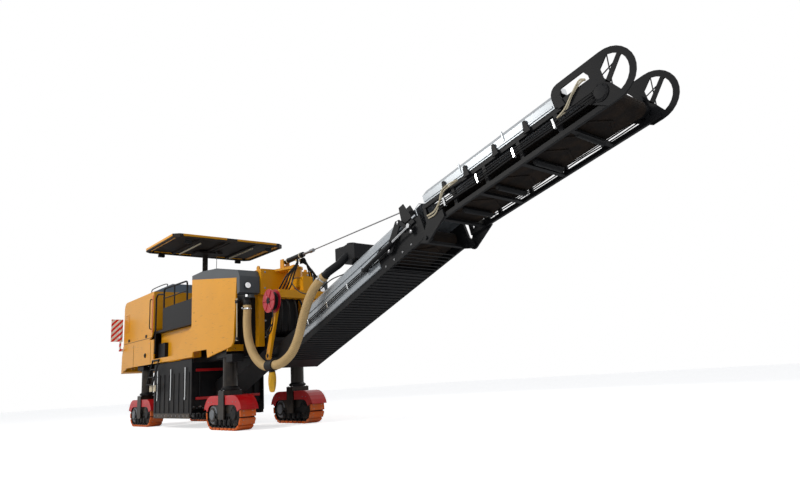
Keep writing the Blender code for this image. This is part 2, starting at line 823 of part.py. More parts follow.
def mast_and_yoke():
    w = mast_half_width
    front = mast_front
    beam = box((front - mast_depth, -w, mast_bottom), (front, w, mast_top))
    legs = [
        across(
            front - mast_depth, front - 0.15, s, mast_leg_inner, mast_leg_inner + 0.12,
            frame_top - 0.10, mast_bottom + 0.05,
        )
        for s in (-1, 1)
    ]
    tongue = [
        (front - 0.10, -0.30),
        *[(slew_x + a, b) for a, b in arc((0, 0), 0.15, -70, 70, 8)],
        (front - 0.10, 0.30),
    ]
    low_plate = prism(tongue, mast_bottom, mast_bottom + mast_plate, "z")
    high_plate = prism(tongue, mast_top - mast_plate, mast_top, "z")
    eye_x, eye_z = front - 0.16, mast_top + 0.03
    eyes = [
        bar((eye_x, s * (w - 0.042), eye_z), (eye_x, s * (w - 0.018), eye_z), lifting_eye_radius)
        for s in (-1, 1)
    ]
    bore = bar((slew_x, 0, mast_bottom - 0.1), (slew_x, 0, mast_top + 0.1), slew_pin_radius, 24)
    part("mast", "body_yellow", [beam, *legs, low_plate, high_plate, *eyes], [bore])

    hub_low, hub_high = mast_bottom + mast_plate + touch, mast_top - mast_plate - clear
    hub = bar((slew_x, 0, hub_low), (slew_x, 0, hub_high), slew_hub_radius - 0.02, 24)
    pin_radius = slew_pin_radius - running
    crank_top = mast_top + clear + 0.039
    pin = bar((slew_x, 0, mast_bottom - 0.02), (slew_x, 0, crank_top - 0.001), pin_radius, 24)
    crank = box((hoist_x - 0.05, -0.06, mast_top + clear), (slew_x + 0.055, 0.06, crank_top))
    cheek_outline = [
        (hoist_x - 0.06, 2.92),
        (hoist_x + 0.08, 2.92),
        (hoist_x + 0.05, 3.08),
        (hoist_x - 0.05, 3.08),
    ]
    cheeks = [prism(cheek_outline, s * 0.056 - 0.012, s * 0.056 + 0.012) for s in (-1, 1)]
    foot = box((hoist_x - 0.06, -0.067, 2.89), (hoist_x + 0.08, 0.067, 2.94))
    bar_y = conveyor_half_width + 0.10
    arm = box((slew_x + 0.05, -0.10, 2.45), (yoke_bar_x + 0.06, 0.10, 2.62))
    neck = box((yoke_bar_x - 0.06, -0.10, yoke_bar_z), (yoke_bar_x + 0.06, 0.10, 2.62))
    bar_y_out = bar_y + yoke_leg
    bar_top = yoke_bar_z + 0.14
    cross = box((yoke_bar_x - 0.07, -bar_y_out, yoke_bar_z), (yoke_bar_x + 0.07, bar_y_out, bar_top))
    lean = atan2(yoke_bar_x - lift_x, yoke_bar_z - lift_z)
    dx = 0.055 * cos(lean)
    dz = 0.055 * sin(lean)
    leg_outline = [
        (lift_x - dx, lift_z + dz),
        *[(lift_x + a, lift_z + b) for a, b in arc((0, 0), 0.07, 170, 340, 8)],
        (lift_x + dx, lift_z - dz),
        (yoke_bar_x + dx, yoke_bar_z + 0.05 - dz),
        (yoke_bar_x - dx, yoke_bar_z + 0.05 + dz),
    ]
    yoke_legs = [prism(leg_outline, *sorted((s * bar_y, s * bar_y_out))) for s in (-1, 1)]
    bores = [
        bar((lift_x, s * 0.3, lift_z), (lift_x, s * 0.8, lift_z), lift_pin_radius, 24)
        for s in (-1, 1)
    ]
    reel_y = -bar_y_out
    reel_x, reel_z = 1.50, 2.17
    spindle = bar((reel_x, reel_y + 0.01, reel_z), (reel_x, reel_y - reel_width - reel_cap, reel_z), 0.020, 16)
    base, way, eye_axis = hoist_line()
    hinge_pin = bar(base - eye_axis * 0.067, base + eye_axis * 0.067, hoist_pin_radius, 16)
    shapes = [hub, pin, crank, foot, *cheeks, hinge_pin, arm, neck, cross, *yoke_legs, spindle]
    part("slew_yoke", "body_yellow", shapes, bores, pivot=slew)

    reel = empty("reel_axis", (reel_x, reel_y, reel_z), machine)
    inner, outer = reel_y - 0.004, reel_y - 0.004 - reel_width
    rims = [
        bar((reel_x, y, reel_z), (reel_x, y - 0.015, reel_z), reel_radius, 24)
        for y in (inner, outer + 0.015)
    ]
    core = bar((reel_x, inner - 0.01, reel_z), (reel_x, outer + 0.01, reel_z), reel_radius * 0.72, 20)
    bore = bar((reel_x, inner + 0.05, reel_z), (reel_x, outer - 0.05, reel_z), 0.020 + running, 24)
    part("hose_reel", "reel_red", [core, *rims], [bore], pivot=reel)

    end = Vector((hoist_end_x, hoist_end_y, hoist_end_z))
    barrel_pivot = empty("hoist_barrel_hinge", tuple(base), machine)
    tube = bar(base + way * 0.03, base + way * hoist_barrel_length, hoist_barrel_radius * 0.62, 20)
    sleeve = bar(base + way * 0.17, base + way * hoist_barrel_length, hoist_barrel_radius, 20)
    eye = bar(base - eye_axis * 0.028, base + eye_axis * 0.028, 0.035, 20)
    hole = bar(base - eye_axis * 0.1, base + eye_axis * 0.1, hoist_pin_radius + running, 16)
    bore_end = base + way * (hoist_barrel_length + 0.1)
    rod_bore = bar(base + way * 0.20, bore_end, hoist_rod_radius + running, 20)
    part("hoist_barrel", "frame_black", [sleeve, tube, eye], [hole, rod_bore], pivot=barrel_pivot)

    rod_pivot = empty("hoist_rod_slide", tuple(base + way * hoist_barrel_length), machine)
    rod_end = base + way * (hoist_barrel_length + 0.32)
    rod = bar(base + way * (hoist_barrel_length - 0.33), rod_end, hoist_rod_radius, 20)
    fitting = bar(rod_end - way * 0.03, rod_end + way * 0.09, 0.034, 16)
    rope = bar(rod_end, end - way * 0.03, hoist_rope_radius, 10)
    rope_eye = bar(end - way * 0.10, end + way * 0.015, 0.018, 12)
    part("hoist_rope", "leg_steel", [fitting, rod, rope, rope_eye], pivot=rod_pivot)


# ---- discharge conveyor ----
def stadium(length_from, length_to, height, radius, steps=8):
    return [
        *arc((length_to, height), radius, -90, 90, steps),
        *arc((length_from, height), radius, 90, 270, steps),
    ]


def both(make):
    """The shapes that make(side) gives for side -1, right, and side 1, left."""
    return [shape for side in (-1, 1) for shape in make(side)]


def plate_between(outline, side, inner, outer):
    """An (s, h) outline extruded between two distances from the centreline, on one side."""
    return prism(outline, *sorted((side * inner, side * outer)))


def pin_through(place, side, inner, outer, radius):
    """A round pin along y at (s, h), between two distances from the centreline, on one side."""
    return bar((place[0], side * inner, place[1]), (place[0], side * outer, place[1]), radius, 20)


def end_drum(place):
    reach = conveyor_half_width - 0.02
    return bar((place, -reach, belt_height), (place, reach, belt_height), end_drum_radius, 24)


def belt_loop(start, end):
    outer = stadium(start, end, belt_height, belt_drum_radius)
    inner = stadium(start, end, belt_height, belt_drum_radius - belt_sheet)
    return ring(outer, inner, -belt_half_width, belt_half_width)


def lower_section():
    w, inside, length = conveyor_half_width, conveyor_half_width - side_sheet, lower_length
    lift_place = lower_place(lift_x, lift_z)
    fold_s, fold_h = lower_place(fold_x, fold_z)
    hoist_s, hoist_h = lower_place(hoist_end_x, hoist_end_z)
    side_outline = [
        (0.10, 0),
        (length - 0.10, 0),
        (length, 0.06),
        (length, side_height),
        (0.55, side_height),
        (0.25, side_height - 0.03),
        (0, 0.20),
        (0, 0.08),
    ]
    lug_outline = [
        (fold_s - 0.22, 0.02),
        (fold_s - 0.05, -0.075),
        (fold_s + 0.05, -0.075),
        (fold_s + 0.05, fold_h + 0.02),
        (fold_s - 0.05, 0.16),
        (fold_s - 0.22, 0.16),
    ]
    hoist_outline = [
        (hoist_s - 0.10, side_height - 0.04),
        (hoist_s + 0.14, side_height - 0.04),
        (hoist_s + 0.05, hoist_h + 0.06),
        (hoist_s - 0.05, hoist_h + 0.06),
    ]

    sides = (-1, 1)
    fold_place, fold_radius = (fold_s, fold_h), fold_pin_radius - running
    plates = [plate_between(side_outline, side, inside, w) for side in sides]
    pins = [
        pin_through(lift_place, side, w - 0.03, w + 0.145, lift_pin_radius - running)
        for side in sides
    ]
    lugs = [plate_between(lug_outline, side, inside + 0.002, w - 0.005) for side in sides]
    fold_pins = [
        pin_through(fold_place, side, inside + 0.012, w + 0.05, fold_radius) for side in sides
    ]
    pan = box((0.10, -w + 0.01, 0.001), (length - 0.9, w - 0.01, 0.012))
    ribs = [box((s - 0.02, -w + 0.01, 0.002), (s + 0.02, w - 0.01, 0.045)) for s in lower_rib_places]
    seat_rear, seat_front, seat_half = hoist_s - 0.11, hoist_s + 0.15, hoist_cheek_half + 0.012
    seat = box(
        (seat_rear, hoist_end_y - seat_half, side_height - 0.05),
        (seat_front, hoist_end_y + seat_half, side_height - 0.02),
    )
    cheeks = [
        prism(hoist_outline, hoist_end_y + offset - 0.008, hoist_end_y + offset + 0.008)
        for offset in (-hoist_cheek_half, hoist_cheek_half)
    ]
    fittings = [*pins, *lugs, *fold_pins, *cheeks, seat]
    shapes = [pan, *plates, end_drum(lower_tail_drum), *ribs, *fittings]
    part("conveyor_lower_frame", "frame_black", [on_lower(s) for s in shapes], pivot=lift)

    belt = belt_loop(lower_tail_drum, length - 0.22)
    part("conveyor_lower_belt", "belt_rubber", [on_lower(belt)], pivot=lift)

    deep = cover(cover_start, cover_full_end, cover_bottom, 0)
    shallow = cover(cover_full_end - 0.02, length - 0.02, side_height + touch, 0.001)
    room = box(
        (seat_rear - 0.09, -w - 0.1, side_height - 0.06),
        (seat_front + 0.07, hoist_end_y + seat_half + 0.018, 1),
    )
    shapes = [on_lower(s) for s in (deep, shallow, room)]
    part("conveyor_lower_cover", "plate_silver", shapes[:2], shapes[2:], pivot=lift)


def upper_section():
    w, inside, length = conveyor_half_width, conveyor_half_width - side_sheet, upper_length
    start, chord, upright = 0.06, 0.055, 0.05
    fold_place = upper_place(fold_x, fold_z)
    ear_outline = [
        *arc(fold_place, 0.07, 180, 300, 6),
        (start + 0.36, 0.0),
        (start + 0.36, 0.12),
        (start + 0.10, 0.16),
    ]

    def side_shapes(side):
        chords = [
            across(start, length, side, inside, w, 0, chord),
            across(start, length - 0.1, side, inside, w, side_height - chord, side_height),
        ]
        uprights = [
            across(s, s + upright, side, inside + 0.002, w - 0.002, 0.01, side_height - 0.01)
            for s in (start, *upper_upright_places, length - 0.16)
        ]
        ear = plate_between(ear_outline, side, w + touch, w + 0.03)
        ear_foot = across(start + 0.12, start + 0.34, side, w - 0.01, w + 0.02, 0.01, 0.05)
        return [*chords, *uprights, ear, ear_foot]

    ties = [box((s, -w + 0.01, 0.002), (s + upright, w - 0.01, 0.04)) for s in upper_tie_places]
    shapes = [ties[0], *both(side_shapes), *ties[1:], end_drum(length - 0.16)]
    bores = both(lambda side: [pin_through(fold_place, side, w - 0.1, w + 0.1, fold_pin_radius)])
    shapes, bores = [on_upper(s) for s in shapes], [on_upper(s) for s in bores]
    part("conveyor_upper_frame", "frame_black", shapes, bores, pivot=fold)

    belt = belt_loop(0.30, length - 0.16)
    part("conveyor_upper_belt", "belt_rubber", [on_upper(belt)], pivot=fold)
    hood = cover(0.12, guard_rear - clear, side_height + touch, 0)
    part("conveyor_upper_cover", "plate_silver", [on_upper(hood)], pivot=fold)


def head_guards():
    """The round plates that guard the sides of the head drum, with two windows each."""
    middle = (guard_centre, guard_radius - 0.02)
    outline = [
        *arc(middle, guard_radius, -90, 90, 14),
        *arc((guard_rear + 0.12, guard_radius * 2 - 0.14), 0.12, 90, 180, 4),
        (guard_rear, 0.34),
        (guard_rear + 0.10, 0.30),
        (guard_centre - 0.30, 0.12),
        (guard_centre - 0.12, -0.02),
    ]
    front_window = [
        *arc(middle, guard_radius - 0.07, -75, 75, 10),
        (guard_centre - 0.06, 0.40),
        (guard_centre - 0.06, 0.16),
    ]
    rear_window = [
        (guard_rear + 0.08, 0.38),
        (guard_centre - 0.20, 0.38),
        (guard_centre - 0.20, 0.50),
        (guard_rear + 0.14, 0.50),
    ]
    near, far = conveyor_half_width + touch, conveyor_half_width + guard_sheet
    for name, side in (("right", -1), ("left", 1)):
        plate = on_upper(plate_between(outline, side, near, far))
        windows = [
            on_upper(plate_between(hole, side, near - 0.1, far + 0.1))
            for hole in (front_window, rear_window)
        ]
        part(f"head_guard_{name}", "frame_black", [plate], windows, pivot=fold)


def cover(start, end, bottom, shrink):
    """An arched sheet over the belt, drawn across and extruded along s."""
    w = conveyor_half_width + cover_sheet + touch - shrink
    top = cover_height - shrink
    outside = [(w, bottom), (w, top - 0.10), (w - 0.10, top), (0, top + cover_crown)]
    n = cover_sheet - 2 * shrink
    inside = [
        (0, top + cover_crown - n),
        (w - 0.10, top - n),
        (w - n, top - 0.10 - n * 0.4),
        (w - n, bottom),
    ]
    outline = [
        *outside,
        *[(-a, b) for a, b in outside[-2::-1]],
        *[(-a, b) for a, b in inside[::-1]],
        *inside[1:],
    ]
    return prism(outline, start, end, "x")


def lower_place(x, z):
    """The s and h of a point on the machine, on the lower section."""
    place = lower_frame.inverted() @ Vector((x, 0, z))
    return place.x, place.z


def upper_place(x, z):
    place = upper_frame.inverted() @ Vector((x, 0, z))
    return place.x, place.z


def fold_cylinder():
    """Right-hand cylinder between the two sections. Its rod's eye is left open."""
    y = -(conveyor_half_width + 0.075)
    base = lower_frame @ Vector((lower_length - 1.30, y, 0.22))
    end = lower_frame @ Vector((lower_length - 0.18, y, 0.27))
    way = (end - base).normalized()
    hinge = empty("fold_barrel_hinge", tuple(base), machine)
    tube = bar(base, base + way * 0.72, 0.032, 16)
    boss = bar(base - Vector((0, 0.03, 0)), base + Vector((0, 0.066, 0)), 0.030, 16)
    rod_bore = bar(base + way * 0.07, base + way * 0.9, 0.016 + running, 16)
    part("fold_barrel", "frame_black", [tube, boss], [rod_bore], pivot=hinge)
    slide = empty("fold_rod_slide", tuple(base + way * 0.72), machine)
    rod = bar(base + way * 0.12, end, 0.016, 16)
    eye = bar(end - Vector((0, 0.02, 0)), end + Vector((0, 0.02, 0)), 0.032, 16)
    part("fold_rod", "leg_steel", [eye, rod], pivot=slide)


# ---- hoses ----
def smooth(route, steps=3):
    """Points of a smooth curve through the route's own points."""
    route = [Vector(p) for p in route]
    padded = [2 * route[0] - route[1], *route, 2 * route[-1] - route[-2]]
    out = []
    for before, a, b, after in zip(padded, padded[1:], padded[2:], padded[3:]):
        for k in range(steps):
            t = k / steps
            out.append(
                0.5
                * (
                    2 * a
                    + (b - before) * t
                    + (2 * before - 5 * a + 4 * b - after) * t * t
                    + (3 * a - before - 3 * b + after) * t**3
                )
            )
    return [*out, route[-1]]


def hose(name, finish, route, radius, pivot):
    curve = bpy.data.curves.new(name, "CURVE")
    curve.dimensions = "3D"
    curve.bevel_depth = radius
    curve.bevel_resolution = 3
    curve.use_fill_caps = True
    line = curve.splines.new("POLY")
    points = smooth(route)
    line.points.add(len(points) - 1)
    for point, place in zip(line.points, points):
        point.co = (*(place - pivot.location), 1)
    curve.materials.append(bpy.data.materials[finish])
    made = bpy.data.objects.new(name, curve)
    made.parent = pivot
    bpy.context.scene.collection.objects.link(made)


def dust_hoses():
    hose("dust_hose_rear", "hose_tan", rear_hose_route, hose_radius, fixed)
    hose("dust_hose_front", "hose_tan", front_hose_route, hose_radius, lift)

    rear, front = Vector(rear_hose_route[-1]), Vector(front_hose_route[0])
    way = (front - rear).normalized()
    outer = bar(rear - way * clamp_reach, front + way * clamp_reach, hose_radius + clamp_wall, 24)
    bores = [
        bar(rear - way * 0.1, rear + way * touch, hose_radius + running, 24),
        bar(front - way * touch, front + way * 0.1, hose_radius + running, 24),
    ]
    part("hose_clamp", "frame_black", [outer], bores, pivot=slew)
    middle, top = (rear.x + front.x) / 2, rear.z - hose_radius - clamp_wall - touch
    sides = [(-0.055, 0.0), (0.055, 0.0), (0.075, -bag_length), (-0.045, -bag_length)]
    outline = [(middle + x, top + z) for x, z in sides]
    part("drain_bag", "bag_yellow", [prism(outline, rear.y - 0.03, rear.y + 0.03)], pivot=slew)


def suction_fan():
    """The box that draws the dust, its duct from the hose and its foot on the cover's ridge."""
    end, before = Vector(front_hose_route[-1]), Vector(front_hose_route[-2])
    way = (end - before).normalized()
    middle_x, middle_y = (fan_rear + fan_front) / 2, (fan_right + fan_left) / 2
    duct = sweep(
        [
            end + way * touch,
            end + way * 0.10,
            (middle_x, fan_right - 0.12, fan_bottom - 0.07),
            (middle_x + 0.03, fan_right + 0.03, fan_bottom + 0.08),
        ],
        fan_duct_radius,
        16,
    )
    body = box((fan_rear, fan_right, fan_bottom), (fan_front, fan_left, fan_top))
    cap = bar((middle_x, middle_y, fan_top - 0.02), (middle_x, middle_y, fan_top + 0.05), 0.07, 20)
    foot_s = lower_place(middle_x, fan_bottom)[0]
    ridge = cover_height + cover_crown + touch
    foot = on_lower(box((foot_s - 0.12, -0.05, ridge), (foot_s + 0.14, 0.05, ridge + 0.25)))
    part("suction_fan", "frame_black", [body, duct, cap, foot], pivot=lift)


def bounds_shift():
    """How far the model moves so that the origin is under the middle of its box."""
    tip = upper_frame @ Vector((guard_centre, 0, guard_radius - 0.02))
    return -(tip.x + guard_radius + body_tail) / 2


for old in list(bpy.data.objects):
    bpy.data.objects.remove(old, do_unlink=True)
for finish in finishes:
    new_material(*finish)

lower_frame = Matrix.Translation(tail_origin) @ Matrix.Rotation(-lower_slope, 4, "Y")
fold_place = lower_frame @ Vector((lower_length, 0, 0.0))
fold_x, fold_z = fold_place.x + 0.02, fold_place.z - 0.03
upper_start = lower_frame @ Vector((lower_length, 0, upper_rise))
upper_frame = Matrix.Translation(upper_start) @ Matrix.Rotation(-upper_slope, 4, "Y")

machine = empty("machine", (bounds_shift(), 0, 0))
fixed = empty("fixed_parts", (0, 0, 0), machine)
slew = empty("slew_axis", (slew_x, 0, mast_bottom), machine)
lift = empty("lift_axis", (lift_x, 0, lift_z), machine)
fold = empty("fold_axis", (fold_x, 0, fold_z), machine)

for corner in corners:
    track_unit(*corner)
chassis()
milling_gear()
rear_body()
operator_station()
front_body()
canopy()
mast_and_yoke()
lower_section()
upper_section()
head_guards()
fold_cylinder()
dust_hoses()
suction_fan()
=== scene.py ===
from math import cos, pi, radians, sin

import bmesh
import bpy
import numpy as np
from mathutils import Matrix, Vector

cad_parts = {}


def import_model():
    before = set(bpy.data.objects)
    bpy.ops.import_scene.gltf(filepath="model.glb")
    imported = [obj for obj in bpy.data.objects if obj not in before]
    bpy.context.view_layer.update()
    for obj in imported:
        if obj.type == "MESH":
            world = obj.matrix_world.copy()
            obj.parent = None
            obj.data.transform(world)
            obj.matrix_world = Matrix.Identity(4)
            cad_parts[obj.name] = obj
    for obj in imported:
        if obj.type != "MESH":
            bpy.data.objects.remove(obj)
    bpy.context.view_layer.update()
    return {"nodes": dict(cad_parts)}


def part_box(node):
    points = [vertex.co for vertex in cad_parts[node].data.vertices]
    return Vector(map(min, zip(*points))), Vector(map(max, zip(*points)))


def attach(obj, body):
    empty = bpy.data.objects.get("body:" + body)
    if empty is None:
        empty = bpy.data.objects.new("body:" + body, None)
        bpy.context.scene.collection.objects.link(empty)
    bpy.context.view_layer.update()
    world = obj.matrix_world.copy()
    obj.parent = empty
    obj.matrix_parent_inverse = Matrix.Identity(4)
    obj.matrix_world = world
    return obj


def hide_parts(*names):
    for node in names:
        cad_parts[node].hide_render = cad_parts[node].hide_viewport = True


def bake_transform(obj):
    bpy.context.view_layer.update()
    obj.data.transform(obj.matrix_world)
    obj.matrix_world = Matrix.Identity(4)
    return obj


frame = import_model()
nodes = frame["nodes"]

# ---- places taken from the frame, in metres: +X forward, +Y left, +Z up ----
axle_front, axle_rear = (
    (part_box(name)[0].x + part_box(name)[1].x) / 2
    for name in ("track_frame_front_right", "track_frame_rear_right")
)
track_y = (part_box("track_front_right")[0].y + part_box("track_front_right")[1].y) / 2
track_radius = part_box("track_front_right")[1].z / 2
axle_x = {"front": -1.3206, "rear": -5.8206}
body_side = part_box("rear_hood")[1].y
hood_low, hood_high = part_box("rear_hood")
deck_low, deck_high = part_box("operator_deck")
canopy_low, canopy_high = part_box("canopy")
mast_low, mast_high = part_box("mast")
side_low, side_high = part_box("side_panel_right")
reel_low, reel_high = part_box("hose_reel")
fan_low, fan_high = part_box("suction_fan")
lower_slope, upper_slope = radians(20.05), radians(13.5)
lower_start = np.array([-0.2306, 0, 1.0])
lower_length, upper_length = 4.46, 3.05
upper_start = lower_start + np.array(
    [
        lower_length * cos(lower_slope) - 0.085 * sin(lower_slope),
        0,
        lower_length * sin(lower_slope) + 0.085 * cos(lower_slope),
    ]
)
conveyor_half = 0.44
side_height = 0.34


# ---- shapes: each is (points, faces) ----
def prism(outline, low, high, along="y"):
    """An outline carried straight along one axis, from the low value to the high one."""
    outline = np.asarray(outline, float)
    count = len(outline)
    ends = [np.column_stack([outline, np.full(count, level)]) for level in (low, high)]
    order = {"y": (0, 2, 1), "z": (0, 1, 2), "x": (2, 0, 1)}[along]
    i = np.arange(count)
    j = (i + 1) % count
    sides = np.column_stack([i, j, j + count, i + count]).tolist()
    return np.concatenate(ends)[:, order], [i[::-1].tolist(), (i + count).tolist(), *sides]


def box(low, high):
    (ax, ay, az), (bx, by, bz) = low, high
    return prism([(ax, ay), (bx, ay), (bx, by), (ax, by)], az, bz, "z")


def rings_solid(rings):
    """Faces between successive closed rings of points, with a flat cap on the first and last."""
    levels, count = rings.shape[:2]
    start = np.arange(levels - 1)[:, None] * count
    i = np.arange(count)
    j = (i + 1) % count
    sides = np.stack([start + i, start + j, start + j + count, start + i + count], axis=-1)
    last = (levels - 1) * count
    caps = [i[::-1].tolist(), (i + last).tolist()]
    return rings.reshape(-1, 3), [*caps, *sides.reshape(-1, 4).tolist()]


def tube(path, radius, sides=12, up=(0, 0, 1)):
    """A round section carried along a path: the path's point plus the radius times the cosine of
    the turn along one side direction and its sine along the other."""
    path = np.asarray(path, float)
    along = np.gradient(path, axis=0)
    along /= np.linalg.norm(along, axis=1)[:, None]
    side = np.cross(along, up)
    side /= np.linalg.norm(side, axis=1)[:, None]
    other = np.cross(side, along)
    turn = 2 * pi * np.arange(sides) / sides
    round_it = (
        np.cos(turn)[None, :, None] * side[:, None] + np.sin(turn)[None, :, None] * other[:, None]
    )
    reach = np.broadcast_to(radius, len(path))[:, None, None]
    return rings_solid(path[:, None] + reach * round_it)


def bar(start, end, radius, sides=12):
    way = np.subtract(end, start)
    up = (0, 0, 1) if abs(way[2]) < 0.9 * np.linalg.norm(way) else (1, 0, 0)
    return tube([start, end], radius, sides, up)


def turned(profile, centre, axis, sides=24):
    """A profile of (distance along the axis, radius) turned round an axis through a centre."""
    profile, axis = np.asarray(profile, float), np.asarray(axis, float)
    axis = axis / np.linalg.norm(axis)
    side = np.cross(axis, (0, 0, 1) if abs(axis[2]) < 0.9 else (1, 0, 0))
    side /= np.linalg.norm(side)
    other = np.cross(axis, side)
    turn = 2 * pi * np.arange(sides) / sides
    round_it = np.cos(turn)[:, None] * side + np.sin(turn)[:, None] * other
    middle = np.asarray(centre, float) + profile[:, :1] * axis
    return rings_solid(middle[:, None] + profile[:, 1][:, None, None] * round_it)


def spline(points, steps=8):
    """A smooth line through points: on each stretch, a cubic in t whose slope at a point is half
    the way between its two neighbours."""
    p = np.asarray(points, float)
    p = np.concatenate([[2 * p[0] - p[1]], p, [2 * p[-1] - p[-2]]])
    t = (np.arange(steps) / steps)[None, :, None]
    a, b, c, d = (p[k : len(p) - 3 + k, None] for k in range(4))
    cubic = (2 * a - 5 * b + 4 * c - d) * t**2 + (3 * b - a - 3 * c + d) * t**3
    line = 0.5 * (2 * b + (c - a) * t + cubic)
    return np.concatenate([line.reshape(-1, 3), p[-2:-1]])


def arc(centre, radius, start, end, steps):
    turn = np.radians(np.linspace(start, end, steps + 1))
    return np.column_stack([centre[0] + radius * np.cos(turn), centre[1] + radius * np.sin(turn)])


def join(*shapes):
    points, faces, used = [], [], 0
    for some_points, some_faces in shapes:
        points.append(np.asarray(some_points, float))
        faces += [[index + used for index in face] for face in some_faces]
        used += len(some_points)
    return np.concatenate(points), faces


def placed(shape, matrix):
    """The shape with each point multiplied by a 3 x 3 turn and moved: (turn, move)."""
    turn, move = matrix
    return np.asarray(shape[0]) @ np.asarray(turn).T + np.asarray(move), shape[1]


def copies(shape, places):
    return join(*(placed(shape, place) for place in places))


def moves(offsets):
    return [(np.eye(3), offset) for offset in offsets]


def lean(angle):
    """The turn about the Y axis that raises +X by an angle."""
    return np.array([[cos(angle), 0, -sin(angle)], [0, 1, 0], [sin(angle), 0, cos(angle)]])


def on_lower(shape):
    return placed(shape, (lean(lower_slope), lower_start))


def on_upper(shape):
    return placed(shape, (lean(upper_slope), upper_start))


def bolts(places, axis, radius=0.012, height=0.010):
    """Six-sided heads on washers at some places, along one axis."""
    head = [(0, radius * 1.5), (height * 0.25, radius * 1.5), (height * 0.26, radius)]
    head += [(height * 0.85, radius), (height, radius * 0.8)]
    return join(*(turned(head, place, axis, 6) for place in places))


def loft(rings):
    return rings_solid(np.asarray(rings, float))


# ---- materials ----
def new_group(name, inputs, outputs):
    group = bpy.data.node_groups.new(name, "ShaderNodeTree")
    for label, kind, value in inputs:
        socket = group.interface.new_socket(label, in_out="INPUT", socket_type=kind)
        socket.default_value = value
    for label, kind in outputs:
        group.interface.new_socket(label, in_out="OUTPUT", socket_type=kind)
    return group, group.nodes.new("NodeGroupInput"), group.nodes.new("NodeGroupOutput")


def node(tree, kind, links=None, **values):
    """A new node with its properties set and its named or numbered inputs set or linked."""
    made = tree.nodes.new(kind)
    for name, value in values.items():
        setattr(made, name, value)
    for socket, value in (links or {}).items():
        target = made.inputs[socket]
        if isinstance(value, bpy.types.NodeSocket):
            tree.links.new(value, target)
        else:
            target.default_value = value
    return made


def weather_group():
    """Masks in the object's own coordinates: dust that gathers low down and in patches, a slow
    mottle of the tone, thin scratches and a fine grain for bump."""
    group, given, out = new_group(
        "weather",
        [
            ("Scale", "NodeSocketFloat", 1.0),
            ("Dust height", "NodeSocketFloat", 1.2),
            ("Dust", "NodeSocketFloat", 0.5),
        ],
        [
            ("Dust", "NodeSocketFloat"),
            ("Mottle", "NodeSocketFloat"),
            ("Scratch", "NodeSocketFloat"),
            ("Grain", "NodeSocketFloat"),
        ],
    )
    where = node(group, "ShaderNodeTexCoord").outputs["Object"]
    size = node(
        group, "ShaderNodeVectorMath", {0: where, "Scale": given.outputs["Scale"]}, operation="SCALE"
    ).outputs[0]
    slow = node(group, "ShaderNodeTexNoise", {"Vector": size, "Scale": 1.7, "Detail": 5.0})
    patch = node(group, "ShaderNodeTexNoise", {"Vector": size, "Scale": 6.0, "Detail": 8.0})
    fine = node(group, "ShaderNodeTexNoise", {"Vector": size, "Scale": 160.0, "Detail": 3.0})
    stretch = node(group, "ShaderNodeMapping", {"Vector": size, "Scale": (2.0, 60.0, 60.0)})
    streak = node(
        group, "ShaderNodeTexNoise", {"Vector": stretch.outputs[0], "Scale": 2.0, "Detail": 2.0}
    )
    height = node(group, "ShaderNodeSeparateXYZ", {0: where}).outputs["Z"]
    low = node(
        group,
        "ShaderNodeMapRange",
        {0: height, 1: given.outputs["Dust height"], 2: 0.0, 3: 0.15, 4: 1.0},
    ).outputs[0]
    patches = node(
        group, "ShaderNodeMapRange", {0: patch.outputs[0], 1: 0.42, 2: 0.72, 3: 0.0, 4: 1.0}
    ).outputs[0]
    dusty = node(group, "ShaderNodeMath", {0: low, 1: patches}, operation="MULTIPLY").outputs[0]
    dusty = node(
        group,
        "ShaderNodeMath",
        {0: dusty, 1: given.outputs["Dust"]},
        operation="MULTIPLY",
        use_clamp=True,
    ).outputs[0]
    scratch = node(
        group, "ShaderNodeMapRange", {0: streak.outputs[0], 1: 0.66, 2: 0.72, 3: 0.0, 4: 1.0}
    ).outputs[0]
    for label, value in (
        ("Dust", dusty),
        ("Mottle", slow.outputs[0]),
        ("Scratch", scratch),
        ("Grain", fine.outputs[0]),
    ):
        group.links.new(value, out.inputs[label])
    return group


weather = weather_group()


